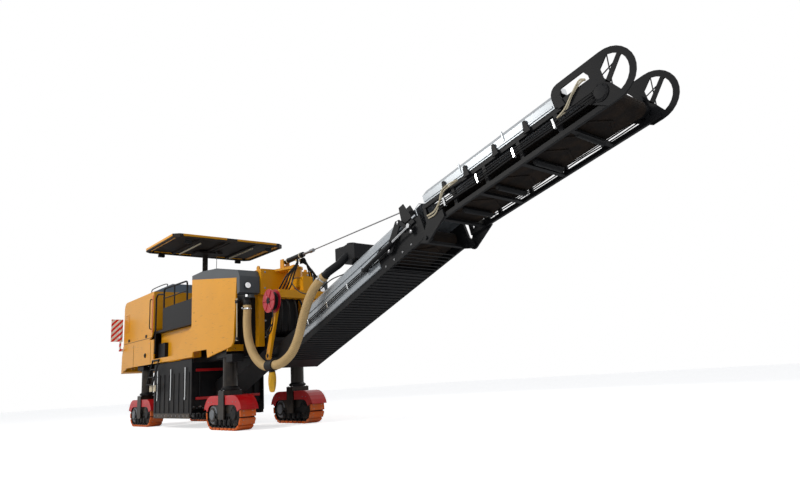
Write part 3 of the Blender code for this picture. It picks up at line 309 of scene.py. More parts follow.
def finish(
    name,
    colour,
    rough=0.4,
    metal=0.0,
    shade=0.8,
    dust=0.5,
    dust_height=1.4,
    dust_colour=(0.30, 0.24, 0.17),
    scale=1.0,
    grain=0.04,
    coat=0.0,
    shine=0.5,
    worn=None,
):
    """A weathered surface: the colour and a darker tone of it mixed by the mottle, scratches in a
    worn colour, dust over both, and a roughness that rises with the dust."""
    material = bpy.data.materials.new(name)
    material.use_nodes = True
    tree = material.node_tree
    shader = tree.nodes["Principled BSDF"]
    masks = node(tree, "ShaderNodeGroup", node_tree=weather)
    masks.inputs["Scale"].default_value = scale
    masks.inputs["Dust height"].default_value = dust_height
    masks.inputs["Dust"].default_value = dust
    dark = tuple(c * shade for c in colour)
    worn = worn or tuple(c * 0.5 + 0.02 for c in colour)

    def mix(share, a, b):
        mixer = node(tree, "ShaderNodeMix", data_type="RGBA")
        tree.links.new(share, mixer.inputs["Factor"])
        for socket, value in ((mixer.inputs["A"], a), (mixer.inputs["B"], b)):
            colours = [s for s in mixer.inputs if s.name == socket.name and s.type == "RGBA"][0]
            if isinstance(value, bpy.types.NodeSocket):
                tree.links.new(value, colours)
            else:
                colours.default_value = (*value, 1)
        return [s for s in mixer.outputs if s.type == "RGBA"][0]

    tone = mix(masks.outputs["Mottle"], colour, dark)
    marked = mix(masks.outputs["Scratch"], tone, worn)
    dusted = mix(masks.outputs["Dust"], marked, dust_colour)
    tree.links.new(dusted, shader.inputs["Base Color"])
    roughness = node(
        tree,
        "ShaderNodeMapRange",
        {0: masks.outputs["Dust"], 1: 0.0, 2: 1.0, 3: rough, 4: min(1.0, rough + 0.4)},
    )
    tree.links.new(roughness.outputs[0], shader.inputs["Roughness"])
    bump = node(tree, "ShaderNodeBump", {"Strength": grain, "Height": masks.outputs["Grain"]})
    tree.links.new(bump.outputs[0], shader.inputs["Normal"])
    shader.inputs["Metallic"].default_value = metal
    shader.inputs["Coat Weight"].default_value = coat
    shader.inputs["Specular IOR Level"].default_value = shine
    return material


def striped_finish():
    """White sheet with red bands that run down across it at 45 degrees."""
    material = finish("warning_stripes", (0.80, 0.80, 0.78), 0.35, dust=0.3, coat=0.2)
    tree = material.node_tree
    shader = tree.nodes["Principled BSDF"]
    under = shader.inputs["Base Color"].links[0].from_socket
    where = node(tree, "ShaderNodeTexCoord").outputs["Object"]
    split = node(tree, "ShaderNodeSeparateXYZ", {0: where})
    slant = node(
        tree, "ShaderNodeMath", {0: split.outputs["Y"], 1: split.outputs["Z"]}, operation="SUBTRACT"
    )
    share = node(tree, "ShaderNodeMath", {0: slant.outputs[0], 1: 7.0}, operation="MULTIPLY")
    part_of = node(tree, "ShaderNodeMath", {0: share.outputs[0]}, operation="FRACT")
    red = node(
        tree, "ShaderNodeMath", {0: part_of.outputs[0], 1: 0.5}, operation="GREATER_THAN"
    )
    mixer = node(tree, "ShaderNodeMix", data_type="RGBA")
    first, second = [s for s in mixer.inputs if s.type == "RGBA"]
    tree.links.new(red.outputs[0], mixer.inputs["Factor"])
    tree.links.new(under, first)
    second.default_value = (0.62, 0.012, 0.010, 1)
    tree.links.new([s for s in mixer.outputs if s.type == "RGBA"][0], shader.inputs["Base Color"])
    return material


yellow = finish("body_paint", (0.80, 0.345, 0.002), 0.34, shade=0.84, dust=0.18, coat=0.05, shine=0.25)
grey = finish("cap_paint", (0.075, 0.085, 0.096), 0.40, shade=0.72, dust=0.12, shine=0.3)
crown_grey = finish("crown_paint", (0.16, 0.21, 0.27), 0.45, shade=0.8, dust=0.3)
black = finish("frame_paint", (0.0065, 0.007, 0.0085), 0.5, shade=0.6, dust=0.05, shine=0.16)
leg_black = finish("column_steel", (0.022, 0.018, 0.015), 0.36, 0.3, shade=0.45, dust=0.28, shine=0.3, dust_colour=(0.20, 0.15, 0.10))
steel = finish("bare_steel", (0.32, 0.32, 0.33), 0.32, 0.9, dust=0.2)
chrome = finish("cylinder_rod", (0.62, 0.63, 0.64), 0.12, 1.0, shade=0.9, dust=0.05, grain=0.0)
red = finish("fender_paint", (0.60, 0.006, 0.010), 0.36, shade=0.78, dust=0.12, coat=0.15, shine=0.35)
orange = finish("shoe_rubber", (0.82, 0.150, 0.018), 0.6, shade=0.66, dust=0.35, dust_height=0.7, grain=0.2, shine=0.25)
silver = finish("cover_sheet", (0.36, 0.39, 0.42), 0.38, 0.45, shade=0.85, dust=0.08, worn=(0.45, 0.45, 0.45))
rubber = finish("belt_rubber_worn", (0.014, 0.010, 0.008), 0.8, shade=0.5, dust=0.30, dust_height=6.0, grain=0.2, shine=0.15, dust_colour=(0.11, 0.065, 0.035))
iron = finish("drum_steel", (0.06, 0.05, 0.045), 0.5, 0.6, shade=0.6, dust=0.4)
tan = finish("hose_wall", (0.62, 0.43, 0.20), 0.55, shade=0.80, dust=0.35, dust_height=3.0, grain=0.1, shine=0.3, dust_colour=(0.42, 0.30, 0.16))
reel_red = finish("reel_paint", (0.50, 0.010, 0.028), 0.35, shade=0.75, dust=0.3, dust_height=3.0)
vinyl = finish("seat_cover", (0.018, 0.018, 0.020), 0.55, shade=0.7, dust=0.2, scale=4.0, grain=0.25)
cream = finish("hose_cream", (0.62, 0.54, 0.38), 0.5, shade=0.85, dust=0.2)
cable = finish("hose_black", (0.008, 0.008, 0.009), 0.5, shade=0.7, dust=0.05, shine=0.2)
brown = finish("canopy_lining", (0.022, 0.016, 0.013), 0.65, shade=0.5, dust=0.1, dust_height=6.0, shine=0.2)
bag_cloth = finish("bag_cloth", (0.78, 0.42, 0.015), 0.85, shade=0.7, dust=0.4, scale=3.0, grain=0.5)
hub_grey = finish("hub_paint", (0.17, 0.185, 0.205), 0.45, shade=0.8, dust=0.12, shine=0.3)
brass = finish("brass_fitting", (0.55, 0.42, 0.22), 0.3, 0.9, dust=0.1)
stripes = striped_finish()


def glowing(name, colour, strength):
    material = finish(name, colour, 0.15, dust=0.0, grain=0.0, coat=0.5)
    shader = material.node_tree.nodes["Principled BSDF"]
    shader.inputs["Emission Color"].default_value = (*colour, 1)
    shader.inputs["Emission Strength"].default_value = strength
    return material


lens = glowing("lamp_lens", (0.85, 0.86, 0.88), 0.35)
amber = finish("beacon_amber", (0.80, 0.26, 0.01), 0.2, dust=0.0, coat=0.5)
amber_cap = amber


def dress(name, *materials):
    """Gives a CAD node its material."""
    for number, material in enumerate(materials):
        if number < len(nodes[name].data.materials):
            nodes[name].data.materials[number] = material
        else:
            nodes[name].data.materials.append(material)


def piece(name, shape, material, body, bevel=0.0, steps=2, smooth=35, stands_for=()):
    """A new piece on a CAD body. Bevel rounds its corners; edges flatter than smooth shade soft."""
    points, faces = shape
    mesh = bpy.data.meshes.new(name)
    mesh.from_pydata(np.asarray(points).tolist(), [], [tuple(face) for face in faces])
    work = bmesh.new()
    work.from_mesh(mesh)
    bmesh.ops.recalc_face_normals(work, faces=work.faces)
    work.to_mesh(mesh)
    work.free()
    mesh.materials.append(material)
    mesh.polygons.foreach_set("use_smooth", np.ones(len(mesh.polygons), bool))
    mesh.set_sharp_from_angle(angle=radians(smooth))
    made = bpy.data.objects.new(name, mesh)
    bpy.context.scene.collection.objects.link(made)
    if bevel:
        edge = made.modifiers.new("edge", "BEVEL")
        edge.width, edge.segments, edge.limit_method = bevel, steps, "ANGLE"
        edge.angle_limit = radians(40)
        edge.harden_normals = False
    if body:
        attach(made, body)
    if stands_for:
        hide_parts(*stands_for)
    return made


# ---- camera: low, ahead of the machine and to its right ----
def aim_camera():
    """Yaw is from the left side towards the rear, pitch is upwards and roll tips the view."""
    yaw, pitch, roll = 0.854, 0.224, -0.062
    ahead = Vector((-sin(yaw) * cos(pitch), cos(yaw) * cos(pitch), sin(pitch)))
    level = Vector((cos(yaw), sin(yaw), 0))
    up = level.cross(ahead)
    right = level * cos(roll) + up * sin(roll)
    top = up * cos(roll) - level * sin(roll)
    camera = bpy.data.objects.new("camera", bpy.data.cameras.new("camera"))
    camera.matrix_world = Matrix(
        (
            (right.x, top.x, -ahead.x, 9.708),
            (right.y, top.y, -ahead.y, -5.922),
            (right.z, top.z, -ahead.z, 0.690),
            (0, 0, 0, 1),
        )
    )
    camera.data.sensor_width = 36
    camera.data.lens = 27.7
    camera.data.clip_end = 200
    bpy.context.scene.collection.objects.link(camera)
    bpy.context.scene.camera = camera


aim_camera()


# ---- crawler tracks ----
def loop_places(count, radius, half, offset=0.0):
    """Places and outward directions spaced evenly round a track loop: along the floor, round the
    front end, back along the top and round the rear end."""
    straight, bend = 2 * half, pi * radius
    way = ((np.arange(count) + offset) / count) * 2 * (straight + bend)
    floor = way < straight
    front = (way >= straight) & (way < straight + bend)
    top = (way >= straight + bend) & (way < 2 * straight + bend)
    angle = np.select(
        [floor, front, top],
        [-pi / 2, (way - straight) / radius - pi / 2, pi / 2],
        (way - 2 * straight - bend) / radius + pi / 2,
    )
    x = np.select([floor, front, top], [way - half, half, half - (way - straight - bend)], -half)
    return x, angle


def loop_copies(shape, count, radius, half, centre, offset=0.0):
    """Copies of a shape drawn with its outer face at z = 0, +Z outwards, set round a loop."""
    x, angle = loop_places(count, radius, half, offset)
    places = []
    for along, turn in zip(x, angle):
        out = np.array([cos(turn), 0, sin(turn)])
        ahead = np.array([sin(turn), 0, -cos(turn)])
        turned_axes = np.column_stack([ahead, (0, 1, 0), out])
        middle = np.array([centre[0] + along, centre[1], centre[2]]) + out * radius
        places.append((turned_axes, middle))
    return copies(shape, places)


def track(corner):
    end, side_name = corner.split("_")
    side = -1 if side_name == "right" else 1
    body = f"track_unit_{corner}"
    low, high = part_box(f"track_{corner}")
    radius, half = high.z / 2, (high.x - low.x) / 2 - high.z / 2
    centre = ((low.x + high.x) / 2, (low.y + high.y) / 2, radius)
    wide = (high.y - low.y) / 2
    pitch = (4 * half + 2 * pi * radius) / 22
    pad = [
        (-pitch * 0.38, -0.044),
        (pitch * 0.38, -0.044),
        (pitch * 0.38, -0.010),
        (pitch * 0.32, 0.0),
        (-pitch * 0.32, 0.0),
        (-pitch * 0.38, -0.010),
    ]
    pads = loop_copies(prism(pad, -wide, wide), 22, radius, half, centre, 0.5)
    piece(f"shoes_{corner}", pads, orange, body, 0.005, stands_for=[f"track_{corner}"])
    plate = box((-pitch * 0.46, -wide * 0.93, -0.056), (pitch * 0.46, wide * 0.93, -0.045))
    lug = prism([(-0.03, -0.075), (0.03, -0.075), (0.045, -0.055), (-0.045, -0.055)], -0.04, 0.04)
    link = join(plate, lug, placed(lug, (np.eye(3), (0, -0.09, 0))), placed(lug, (np.eye(3), (0, 0.09, 0))))
    piece(f"links_{corner}", loop_copies(link, 22, radius, half, centre, 0.5), black, body)
    wells = [(x, y, 0.0005) for x in (-0.035, 0.035) for y in (-0.085, 0.085)]
    heads = join(*(turned([(-0.012, 0.011), (-0.002, 0.011), (0, 0.008)], w, (0, 0, 1), 6) for w in wells))
    piece(f"shoe_bolts_{corner}", loop_copies(heads, 22, radius, half, centre, 0.5), steel, body)
    outside = centre[1] + side * (wide - 0.02)
    for place, tag, material in ((-half, "drive", hub_grey), (half, "idler", black)):
        disc = [(0, 0.175), (0.018, 0.175), (0.030, 0.160), (0.030, 0.105), (0.050, 0.095)]
        disc += [(0.058, 0.085), (0.058, 0.02)]
        for face in (-1, 1):
            start = (centre[0] + place, centre[1] + face * (wide - 0.045), radius)
            shape = turned(disc, start, (0, face, 0), 40)
            ring = [
                (start[0] + 0.13 * cos(a), start[1] + face * 0.030, start[2] + 0.13 * sin(a))
                for a in np.arange(10) * pi / 5
            ]
            heads = bolts(ring, (0, face, 0), 0.009)
            where = "right" if face < 0 else "left"
            piece(f"{tag}_wheel_{where}_{corner}", join(shape, heads), material, body)
    rollers = []
    for x in np.linspace(-half * 0.62, half * 0.62, 4):
        for face in (-1, 1):
            rim = [(0, 0.050), (0.02, 0.058), (0.05, 0.058), (0.055, 0.03), (0.062, 0.028)]
            start = (centre[0] + x, centre[1] + face * (wide - 0.045), 0.145)
            rollers.append(turned(rim, start, (0, face, 0), 20))
    piece(f"rollers_{corner}", join(*rollers), black, body)
    guards = []
    for face in (-1, 1):
        y = centre[1] + face * (wide - 0.012)
        teeth = np.arange(9)
        for tooth in teeth:
            x = centre[0] - half * 0.72 + tooth * half * 0.18
            guards.append(box((x, min(y, y - face * 0.012), 0.085), (x + 0.05, max(y, y - face * 0.012), 0.25)))
        near, far = sorted((y, y - face * 0.014))
        guards.append(box((centre[0] - half * 0.76, near, 0.17), (centre[0] + half * 0.76, far, 0.30)))
    piece(f"side_guards_{corner}", join(*guards), black, body, 0.003)
    column_x = axle_x[end]
    collar = [(0, 0.132), (0.012, 0.165), (0.045, 0.165), (0.055, 0.15), (0.075, 0.132)]
    foot = turned(collar, (column_x, centre[1], 0.703), (0, 0, 1), 36)
    ring = [(column_x + 0.15 * cos(a), centre[1] + 0.15 * sin(a), 0.748) for a in np.arange(12) * pi / 6]
    piece(f"column_foot_{corner}", join(foot, bolts(ring, (0, 0, 1), 0.010)), black, body)
    tops = []
    for x in (-0.10, 0.10):
        for y in (-0.165, 0.165):
            tops.append((column_x + x * 0.8, centre[1] + y, 0.703))
    piece(f"fork_bolts_{corner}", bolts(tops, (0, 0, 1), 0.012), steel, body)
    fender_low, fender_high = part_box(f"fender_{corner}")
    rivets = []
    for x in (fender_low.x + 0.22, fender_low.x + 0.34, fender_high.x - 0.34, fender_high.x - 0.22):
        rivets += [(x, centre[1] + face * ((fender_high.y - fender_low.y) / 2), 0.50) for face in (-1, 1)]
    heads = join(*(bolts([r], (0, 1 if r[1] > centre[1] else -1, 0), 0.008, 0.006) for r in rivets))
    piece(f"fender_rivets_{corner}", heads, steel, body)


for corner in ("front_right", "front_left", "rear_right", "rear_left"):
    track(corner)
    dress(f"track_frame_{corner}", leg_black)
    dress(f"fender_{corner}", red)



# ---- red cross bars ahead of the drum housing ----
housing_low, housing_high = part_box("drum_housing")
cross = [
    box((housing_high.x, -0.80, z), (housing_high.x + 0.05, 0.62, z + 0.055)) for z in (0.56, 1.12)
]
piece("housing_cross_bars", join(*cross), red, "machine", 0.008)
ties = [bar((housing_high.x + 0.03, y, 0.58), (housing_high.x + 0.03, y, 1.14), 0.018, 12) for y in (-0.72, 0.5)]
piece("housing_ties", join(*ties), black, "machine")


# ---- corrugated dust hoses ----
def ribbed_hose(name, route, node_name):
    """A hose on a smooth path whose wall swells and shrinks with the cosine of the distance along
    it, one rib every 26 mm."""
    path = spline(route, 40)
    step = np.linalg.norm(np.diff(path, axis=0), axis=1)
    along = np.concatenate([[0], np.cumsum(step)])
    even = np.linspace(0, along[-1], int(along[-1] / 0.0052))
    path = np.column_stack([np.interp(even, along, path[:, k]) for k in range(3)])
    radius = 0.0715 + 0.0035 * np.cos(2 * pi * even / 0.026)
    made = piece(name, tube(path, radius, 22, (0, 1, 0.15)), tan, None, stands_for=[node_name])
    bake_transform(made)
    return made


def world(points):
    return np.asarray(points, float) - (1.320597, 0, 0)


rear_route = world(
    [
        (0.86, -0.80, 2.175), (0.86, -0.80, 2.11), (0.86, -0.80, 2.04), (0.89, -0.82, 1.86),
        (0.97, -0.845, 1.62), (1.10, -0.86, 1.41), (1.28, -0.868, 1.23), (1.48, -0.87, 1.11),
        (1.64, -0.87, 1.06), (1.72, -0.87, 1.06), (1.80, -0.87, 1.06),
    ]
)
front_route = world(
    [
        (1.90, -0.87, 1.06), (1.98, -0.87, 1.06), (2.06, -0.87, 1.06), (2.24, -0.85, 1.11),
        (2.40, -0.80, 1.24), (2.49, -0.74, 1.46), (2.54, -0.68, 1.74), (2.62, -0.63, 2.00),
        (2.73, -0.595, 2.18), (2.86, -0.568, 2.29), (2.93, -0.556, 2.33), (3.00, -0.544, 2.37),
    ]
)
ribbed_hose("dust_hose_rear_wall", rear_route, "dust_hose_rear")
ribbed_hose("dust_hose_front_wall", front_route, "dust_hose_front")
for name, place, way, body in (
    ("hose_band_rear", rear_route[0] + (0, 0, -0.05), (0, 0, -1), "machine"),
    ("hose_band_front", front_route[-2], front_route[-1] - front_route[-2], "conveyor_lower"),
):
    band = turned([(0, 0.076), (0.002, 0.081), (0.026, 0.081), (0.028, 0.076)], place, way, 32)
    screw = box(np.array(place) + (-0.03, -0.095, -0.012), np.array(place) + (0.03, -0.078, 0.012))
    piece(name, join(band, screw), chrome, body)


# ---- drain bag under the clamp ----
def drain_bag():
    """A cloth bag: closed sections that go from a round neck to a wide flat foot, each pushed in
    and out by folds that run down it (a sine of the turn that grows with the drop)."""
    drop = np.linspace(0, 1, 40)[:, None]
    turn = (2 * pi * np.arange(56) / 56)[None, :]
    wide = 0.050 + 0.030 * np.sin(pi * drop * 0.8) + 0.004 * np.sin(9 * drop)
    deep = 0.045 + 0.026 * np.sin(pi * drop) - 0.024 * drop
    fold = 1 + 0.09 * np.sin(5 * turn + 3 * drop) * drop + 0.03 * np.sin(13 * turn) * drop
    x = 0.539 + wide * fold * np.cos(turn) + 0.008 * np.sin(4 * drop)
    y = -0.870 + deep * fold * np.sin(turn) + 0.003 * np.cos(6 * drop)
    z = 0.968 - 0.335 * drop + 0.008 * np.sin(2 * turn + 1) * drop
    rings = np.stack([x, y, np.broadcast_to(z, x.shape)], axis=-1)
    bag = piece("drain_bag_cloth", loft(rings), bag_cloth, "yoke", stands_for=["drain_bag"], smooth=60)
    subdivide = bag.modifiers.new("soft", "SUBSURF")
    subdivide.levels = subdivide.render_levels = 1
    tie = turned([(0, 0.056), (0.012, 0.060), (0.024, 0.056)], (0.539, -0.870, 0.945), (0, 0, 1), 28)
    squeeze = (np.diag([1.0, 0.9, 1.0]), (0, -0.087, 0))
    piece("drain_bag_tie", placed(tie, squeeze), black, "yoke")


drain_bag()


# ---- operator's seat ----
def cushion(name, centre, size, tilt, body, material, stands_for=()):
    """A crowned pad: a rounded box whose sides pull in, its top raised by the product of two
    cosines, with two sewn channels pressed in across it."""
    u = np.linspace(-1, 1, 41)[:, None]
    v = np.linspace(-1, 1, 41)[None, :]
    crown = np.cos(u * pi / 2) ** 0.5 * np.cos(v * pi / 2) ** 0.5
    seams = np.exp(-(((np.abs(u) - 0.36) / 0.035) ** 2)) * crown
    x, y = size[0] / 2 * u * (1 - 0.04 * v**2), size[1] / 2 * v * (1 - 0.04 * u**2)
    top = size[2] * (0.30 + 0.70 * crown) - 0.012 * seams
    low = -size[2] * 0.10 * crown
    sheets = [np.stack(np.broadcast_arrays(x, y, h), axis=-1).reshape(-1, 3) for h in (top, low)]
    grid = np.arange(41 * 41).reshape(41, 41)
    quads = np.stack([grid[:-1, :-1], grid[1:, :-1], grid[1:, 1:], grid[:-1, 1:]], -1).reshape(-1, 4)
    rim = np.concatenate([grid[:-1, 0], grid[-1, :-1], grid[:0:-1, -1], grid[0, :0:-1]])
    after = np.roll(rim, -1)
    under = grid.size
    walls = np.column_stack([rim, after, after + under, rim + under])
    faces = [*quads.tolist(), *(quads[:, ::-1] + under).tolist(), *walls.tolist()]
    shape = placed((np.concatenate(sheets), faces), (tilt, centre))
    pad = piece(name, shape, material, body, stands_for=stands_for, smooth=60)
    soft = pad.modifiers.new("soft", "SUBSURF")
    soft.levels = soft.render_levels = 1


seat_x, seat_y = -3.33, 0.46
cushion("seat_cushion", (seat_x + 0.03, seat_y, 2.56), (0.46, 0.45, 0.10), np.eye(3), "machine", vinyl, ["operator_seat"])
cushion("seat_back", (seat_x - 0.17, seat_y, 2.79), (0.36, 0.42, 0.09), np.array([[0.15, 0, 0.98], [0, 1, 0], [0.98, 0, -0.15]]) * 1.0, "machine", vinyl)
stand = [
    box((seat_x - 0.17, seat_y - 0.18, 2.14), (seat_x + 0.17, seat_y + 0.18, 2.18)),
    *(box((seat_x - 0.11, seat_y - 0.13, z), (seat_x + 0.11, seat_y + 0.13, z + 0.035)) for z in np.arange(2.19, 2.46, 0.045)),
    box((seat_x - 0.17, seat_y - 0.19, 2.48), (seat_x + 0.20, seat_y + 0.19, 2.54)),
    box((seat_x - 0.235, seat_y - 0.16, 2.52), (seat_x - 0.205, seat_y + 0.16, 2.92)),
]
piece("seat_stand", join(*stand), black, "machine", 0.004)
arms = []
for side in (-1, 1):
    y = seat_y + side * 0.225
    arms.append(tube(spline([(seat_x - 0.19, y, 2.62), (seat_x - 0.14, y, 2.70), (seat_x + 0.10, y, 2.71)], 6), 0.012, 10))
    arms.append(box((seat_x - 0.10, y - 0.014, 2.705), (seat_x + 0.12, y + 0.014, 2.73)))
piece("seat_arms", join(*arms), black, "machine")

# ---- operator's desk and rails inside the deck ----
for side in (-1, 1):
    y = side * 0.62
    desk = prism([(-2.98, 2.14), (-2.70, 2.14), (-2.70, 2.74), (-2.80, 2.80), (-3.02, 2.66)], y - 0.19, y + 0.19)
    name = "right" if side < 0 else "left"
    piece(f"desk_{name}", desk, grey, "machine", 0.015, 3)
    face = np.array([-3.02 + 0.11, y, 2.73])
    knobs = []
    for row in range(3):
        for column in range(5):
            start = face + (row * 0.05 - 0.05, (column - 2) * 0.06, row * 0.032 - 0.032)
            knobs.append(turned([(0, 0.012), (0.012, 0.012), (0.016, 0.008)], start, (-0.5, 0, 0.86), 10))
    piece(f"desk_knobs_{name}", join(*knobs), steel, "machine")
    lever = join(
        bar((-2.90, y + 0.12, 2.74), (-2.94, y + 0.12, 2.87), 0.007, 8),
        turned([(0, 0.008), (0.01, 0.018), (0.03, 0.02), (0.045, 0.008)], (-2.94, y + 0.12, 2.86), (-0.3, 0, 1), 14),
    )
    piece(f"desk_lever_{name}", lever, black, "machine")

# ---- engine hood: strips, rails, louvres ----
hood_side = hood_high.y
for side in (-1, 1):
    name = "right" if side < 0 else "left"
    y0, y1 = sorted((side * hood_side, side * (hood_side + 0.006)))
    seam = [
        box((hood_low.x + 0.06, y0, 2.00), (hood_high.x - 0.05, y1 - 0.003 if side > 0 else y1, 2.008)),
    ]
    piece(f"hood_lower_seam_{name}", join(*seam), black, "engine_hood")
    strip = box((hood_high.x - 0.075, y0, 2.12), (hood_high.x - 0.035, y1, 2.98))
    piece(f"hood_edge_strip_{name}", strip, red, "engine_hood", 0.002)
    rail = spline([(hood_high.x - 0.12, side * (hood_side + 0.002), 2.20), (hood_high.x - 0.12, side * (hood_side + 0.045), 2.24),
                   (hood_high.x - 0.12, side * (hood_side + 0.045), 2.55), (hood_high.x - 0.12, side * (hood_side + 0.045), 2.86),
                   (hood_high.x - 0.12, side * (hood_side + 0.002), 2.90)], 6)
    piece(f"hood_grab_{name}", tube(rail, 0.011, 12, (1, 0, 0)), black, "engine_hood")
    catches = []
    for x in (hood_low.x + 0.45, hood_high.x - 0.45):
        low_y, high_y = sorted((side * hood_side, side * (hood_side + 0.010)))
        catches.append(box((x - 0.055, low_y, 2.03), (x + 0.055, high_y, 2.10)))
    piece(f"hood_catches_{name}", join(*catches), black, "engine_hood", 0.006, 3)
    heads = [(x, side * hood_side, z) for z in (2.06, 2.96) for x in np.linspace(hood_low.x + 0.12, hood_high.x - 0.15, 9)]
    piece(f"hood_screws_{name}", bolts(heads, (0, side, 0), 0.007, 0.004), yellow, "engine_hood")
    slats = []
    for row in range(9):
        z = 2.30 + row * 0.052
        outline = [(side * hood_side, z), (side * (hood_side + 0.014), z - 0.006), (side * hood_side, z + 0.034)]
        slats.append(prism(outline, hood_low.x + 0.10, hood_low.x + 0.42, "x"))
    piece(f"hood_louvres_{name}", join(*slats), yellow, "engine_hood")

slats = []
for row in range(15):
    z = 2.08 + row * 0.056
    outline = [(hood_low.x + 0.004, z), (hood_low.x - 0.016, z - 0.008), (hood_low.x + 0.004, z + 0.036)]
    slats.append(prism(outline, -0.68, 0.68))
frame_bars = [
    box((hood_low.x - 0.012, -0.74, 2.02), (hood_low.x + 0.01, 0.74, 2.06)),
    box((hood_low.x - 0.012, -0.74, 2.93), (hood_low.x + 0.01, 0.74, 2.97)),
    *(box((hood_low.x - 0.012, y - 0.02, 2.02), (hood_low.x + 0.01, y + 0.02, 2.97)) for y in (-0.72, 0, 0.72)),
]
piece("rear_grille", join(*slats), black, "engine_hood")
piece("rear_grille_frame", join(*frame_bars), black, "engine_hood", 0.004)
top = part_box("hood_top")[1].z
rails = []
for y in (-0.52, 0.52):
    line = spline([(-6.3, y, top - 0.02), (-6.28, y, top + 0.05), (-6.1, y, top + 0.075), (-5.5, y, top + 0.075), (-5.22, y, top + 0.05), (-5.2, y, top - 0.02)], 6)
    rails.append(tube(line, 0.012, 12, (0, 1, 0)))
piece("hood_top_rails", join(*rails), black, "engine_hood")
stack = join(
    turned([(0, 0.075), (0.04, 0.075), (0.05, 0.065), (0.16, 0.065), (0.17, 0.06)], (-5.75, 0.25, top - 0.03), (0, 0, 1), 32),
    turned([(0, 0.06), (0.01, 0.06)], (-5.75, 0.25, top + 0.14), (0, 0, 1), 32),
)
piece("exhaust_stack", stack, iron, "engine_hood")

# ---- rear body: plug, towing eyes, lamps ----
for side in (-1, 1):
    name = "right" if side < 0 else "left"
    plug = turned([(0, 0.055), (0.008, 0.055), (0.012, 0.048), (0.012, 0.035), (0.026, 0.030), (0.028, 0.01)], (-5.35, side * hood_side, 1.62), (0, side, 0), 28)
    piece(f"body_plug_{name}", plug, black, "machine")
    lamp_y = side * 0.78
    housing = box((-7.155, lamp_y - 0.075, 1.70), (-7.118, lamp_y + 0.075, 1.86))
    piece(f"tail_lamp_{name}", housing, red, "machine", 0.012, 3)
    eye = join(box((-7.19, side * 0.45 - 0.02, 1.36), (-7.11, side * 0.45 + 0.02, 1.50)))
    piece(f"towing_eye_{name}", eye, black, "machine", 0.015, 3)
    low_y, high_y = sorted((side * hood_side, side * (hood_side + 0.004)))
    seams = [box((x, low_y, 1.30), (x + 0.006, high_y, 1.93)) for x in (-6.2, -5.0)]
    piece(f"body_seams_{name}", join(*seams), black, "machine")
    heads = [(x, side * hood_side, z) for x in (-6.95, -6.3, -6.1, -5.1) for z in (1.36, 1.88)]
    piece(f"body_screws_{name}", bolts(heads, (0, side, 0), 0.009, 0.005), steel, "machine")

# ---- pods: cap lamps, bracket, rod, beacon, antenna ----
for side in (-1, 1):
    name = "right" if side < 0 else "left"
    y = side * 0.80
    lamp = turned([(0, 0.05), (0.03, 0.062), (0.045, 0.062), (0.05, 0.056)], (-0.475, y, 2.53), (1, 0, 0.12), 32)
    glass = turned([(0, 0.054), (0.006, 0.048), (0.010, 0.02)], (-0.425, y, 2.536), (1, 0, 0.12), 32)
    piece(f"cap_lamp_{name}", lamp, black, "machine")
    piece(f"cap_lamp_glass_{name}", glass, lens, "machine")
    rod = bar((-0.555, side * 0.955, 1.55), (-0.555, side * 0.955, 2.30), 0.010, 10)
    knobs = [turned([(0, 0.02), (0.02, 0.02), (0.026, 0.012)], (-0.555, side * 0.955, z), (0, 0, 1), 12) for z in (1.55, 2.28)]
    piece(f"sight_rod_{name}", join(rod, *knobs), cream, "machine")
    low_y, high_y = sorted((side * 0.948, side * 0.972))
    brackets = [box((-0.60, low_y, z), (-0.51, high_y, z + 0.05)) for z in (1.56, 2.22)]
    piece(f"rod_brackets_{name}", join(*brackets), black, "machine", 0.005)
    low_y, high_y = sorted((side * 0.70, side * 0.93))
    piece(f"pod_foot_box_{name}", box((-1.05, low_y, 1.20), (-0.80, high_y, 1.345)), black, "machine", 0.012, 3)
    heads = [(x, side * 0.948, z) for x, z in ((-2.5, 2.28), (-0.64, 2.28), (-0.64, 1.42), (-1.6, 1.42), (-2.4, 2.1))]
    piece(f"panel_screws_{name}", bolts(heads, (0, side, 0), 0.009, 0.004), black, "machine")


def top_of(name, x, y):
    """Height of a CAD node's upper surface above a point of the floor."""
    found, place, _, _ = nodes[name].ray_cast(Vector((x, y, 9)), Vector((0, 0, -1)))
    return place.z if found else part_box(name)[1].z


seat_z = top_of("pod_cap", -2.35, -0.60)
beacon_base = turned([(0, 0.055), (0.03, 0.055), (0.045, 0.035), (0.05, 0.035)], (-2.35, -0.60, seat_z - 0.004), (0, 0, 1), 28)
beacon = turned([(0, 0.034), (0.012, 0.036), (0.040, 0.034), (0.055, 0.022), (0.060, 0.01)], (-2.35, -0.60, seat_z + 0.045), (0, 0, 1), 32)
aerial_z = top_of("pod_cap", -2.0, -0.70)
piece("beacon_base", beacon_base, black, "machine")
piece("beacon_glass", beacon, amber, "machine")
piece("antenna", join(bar((-2.0, -0.70, aerial_z), (-2.0, -0.69, aerial_z + 0.42), 0.006, 8), turned([(0, 0.022), (0.03, 0.018), (0.05, 0.007)], (-2.0, -0.70, aerial_z - 0.003), (0, 0, 1), 16)), black, "machine")

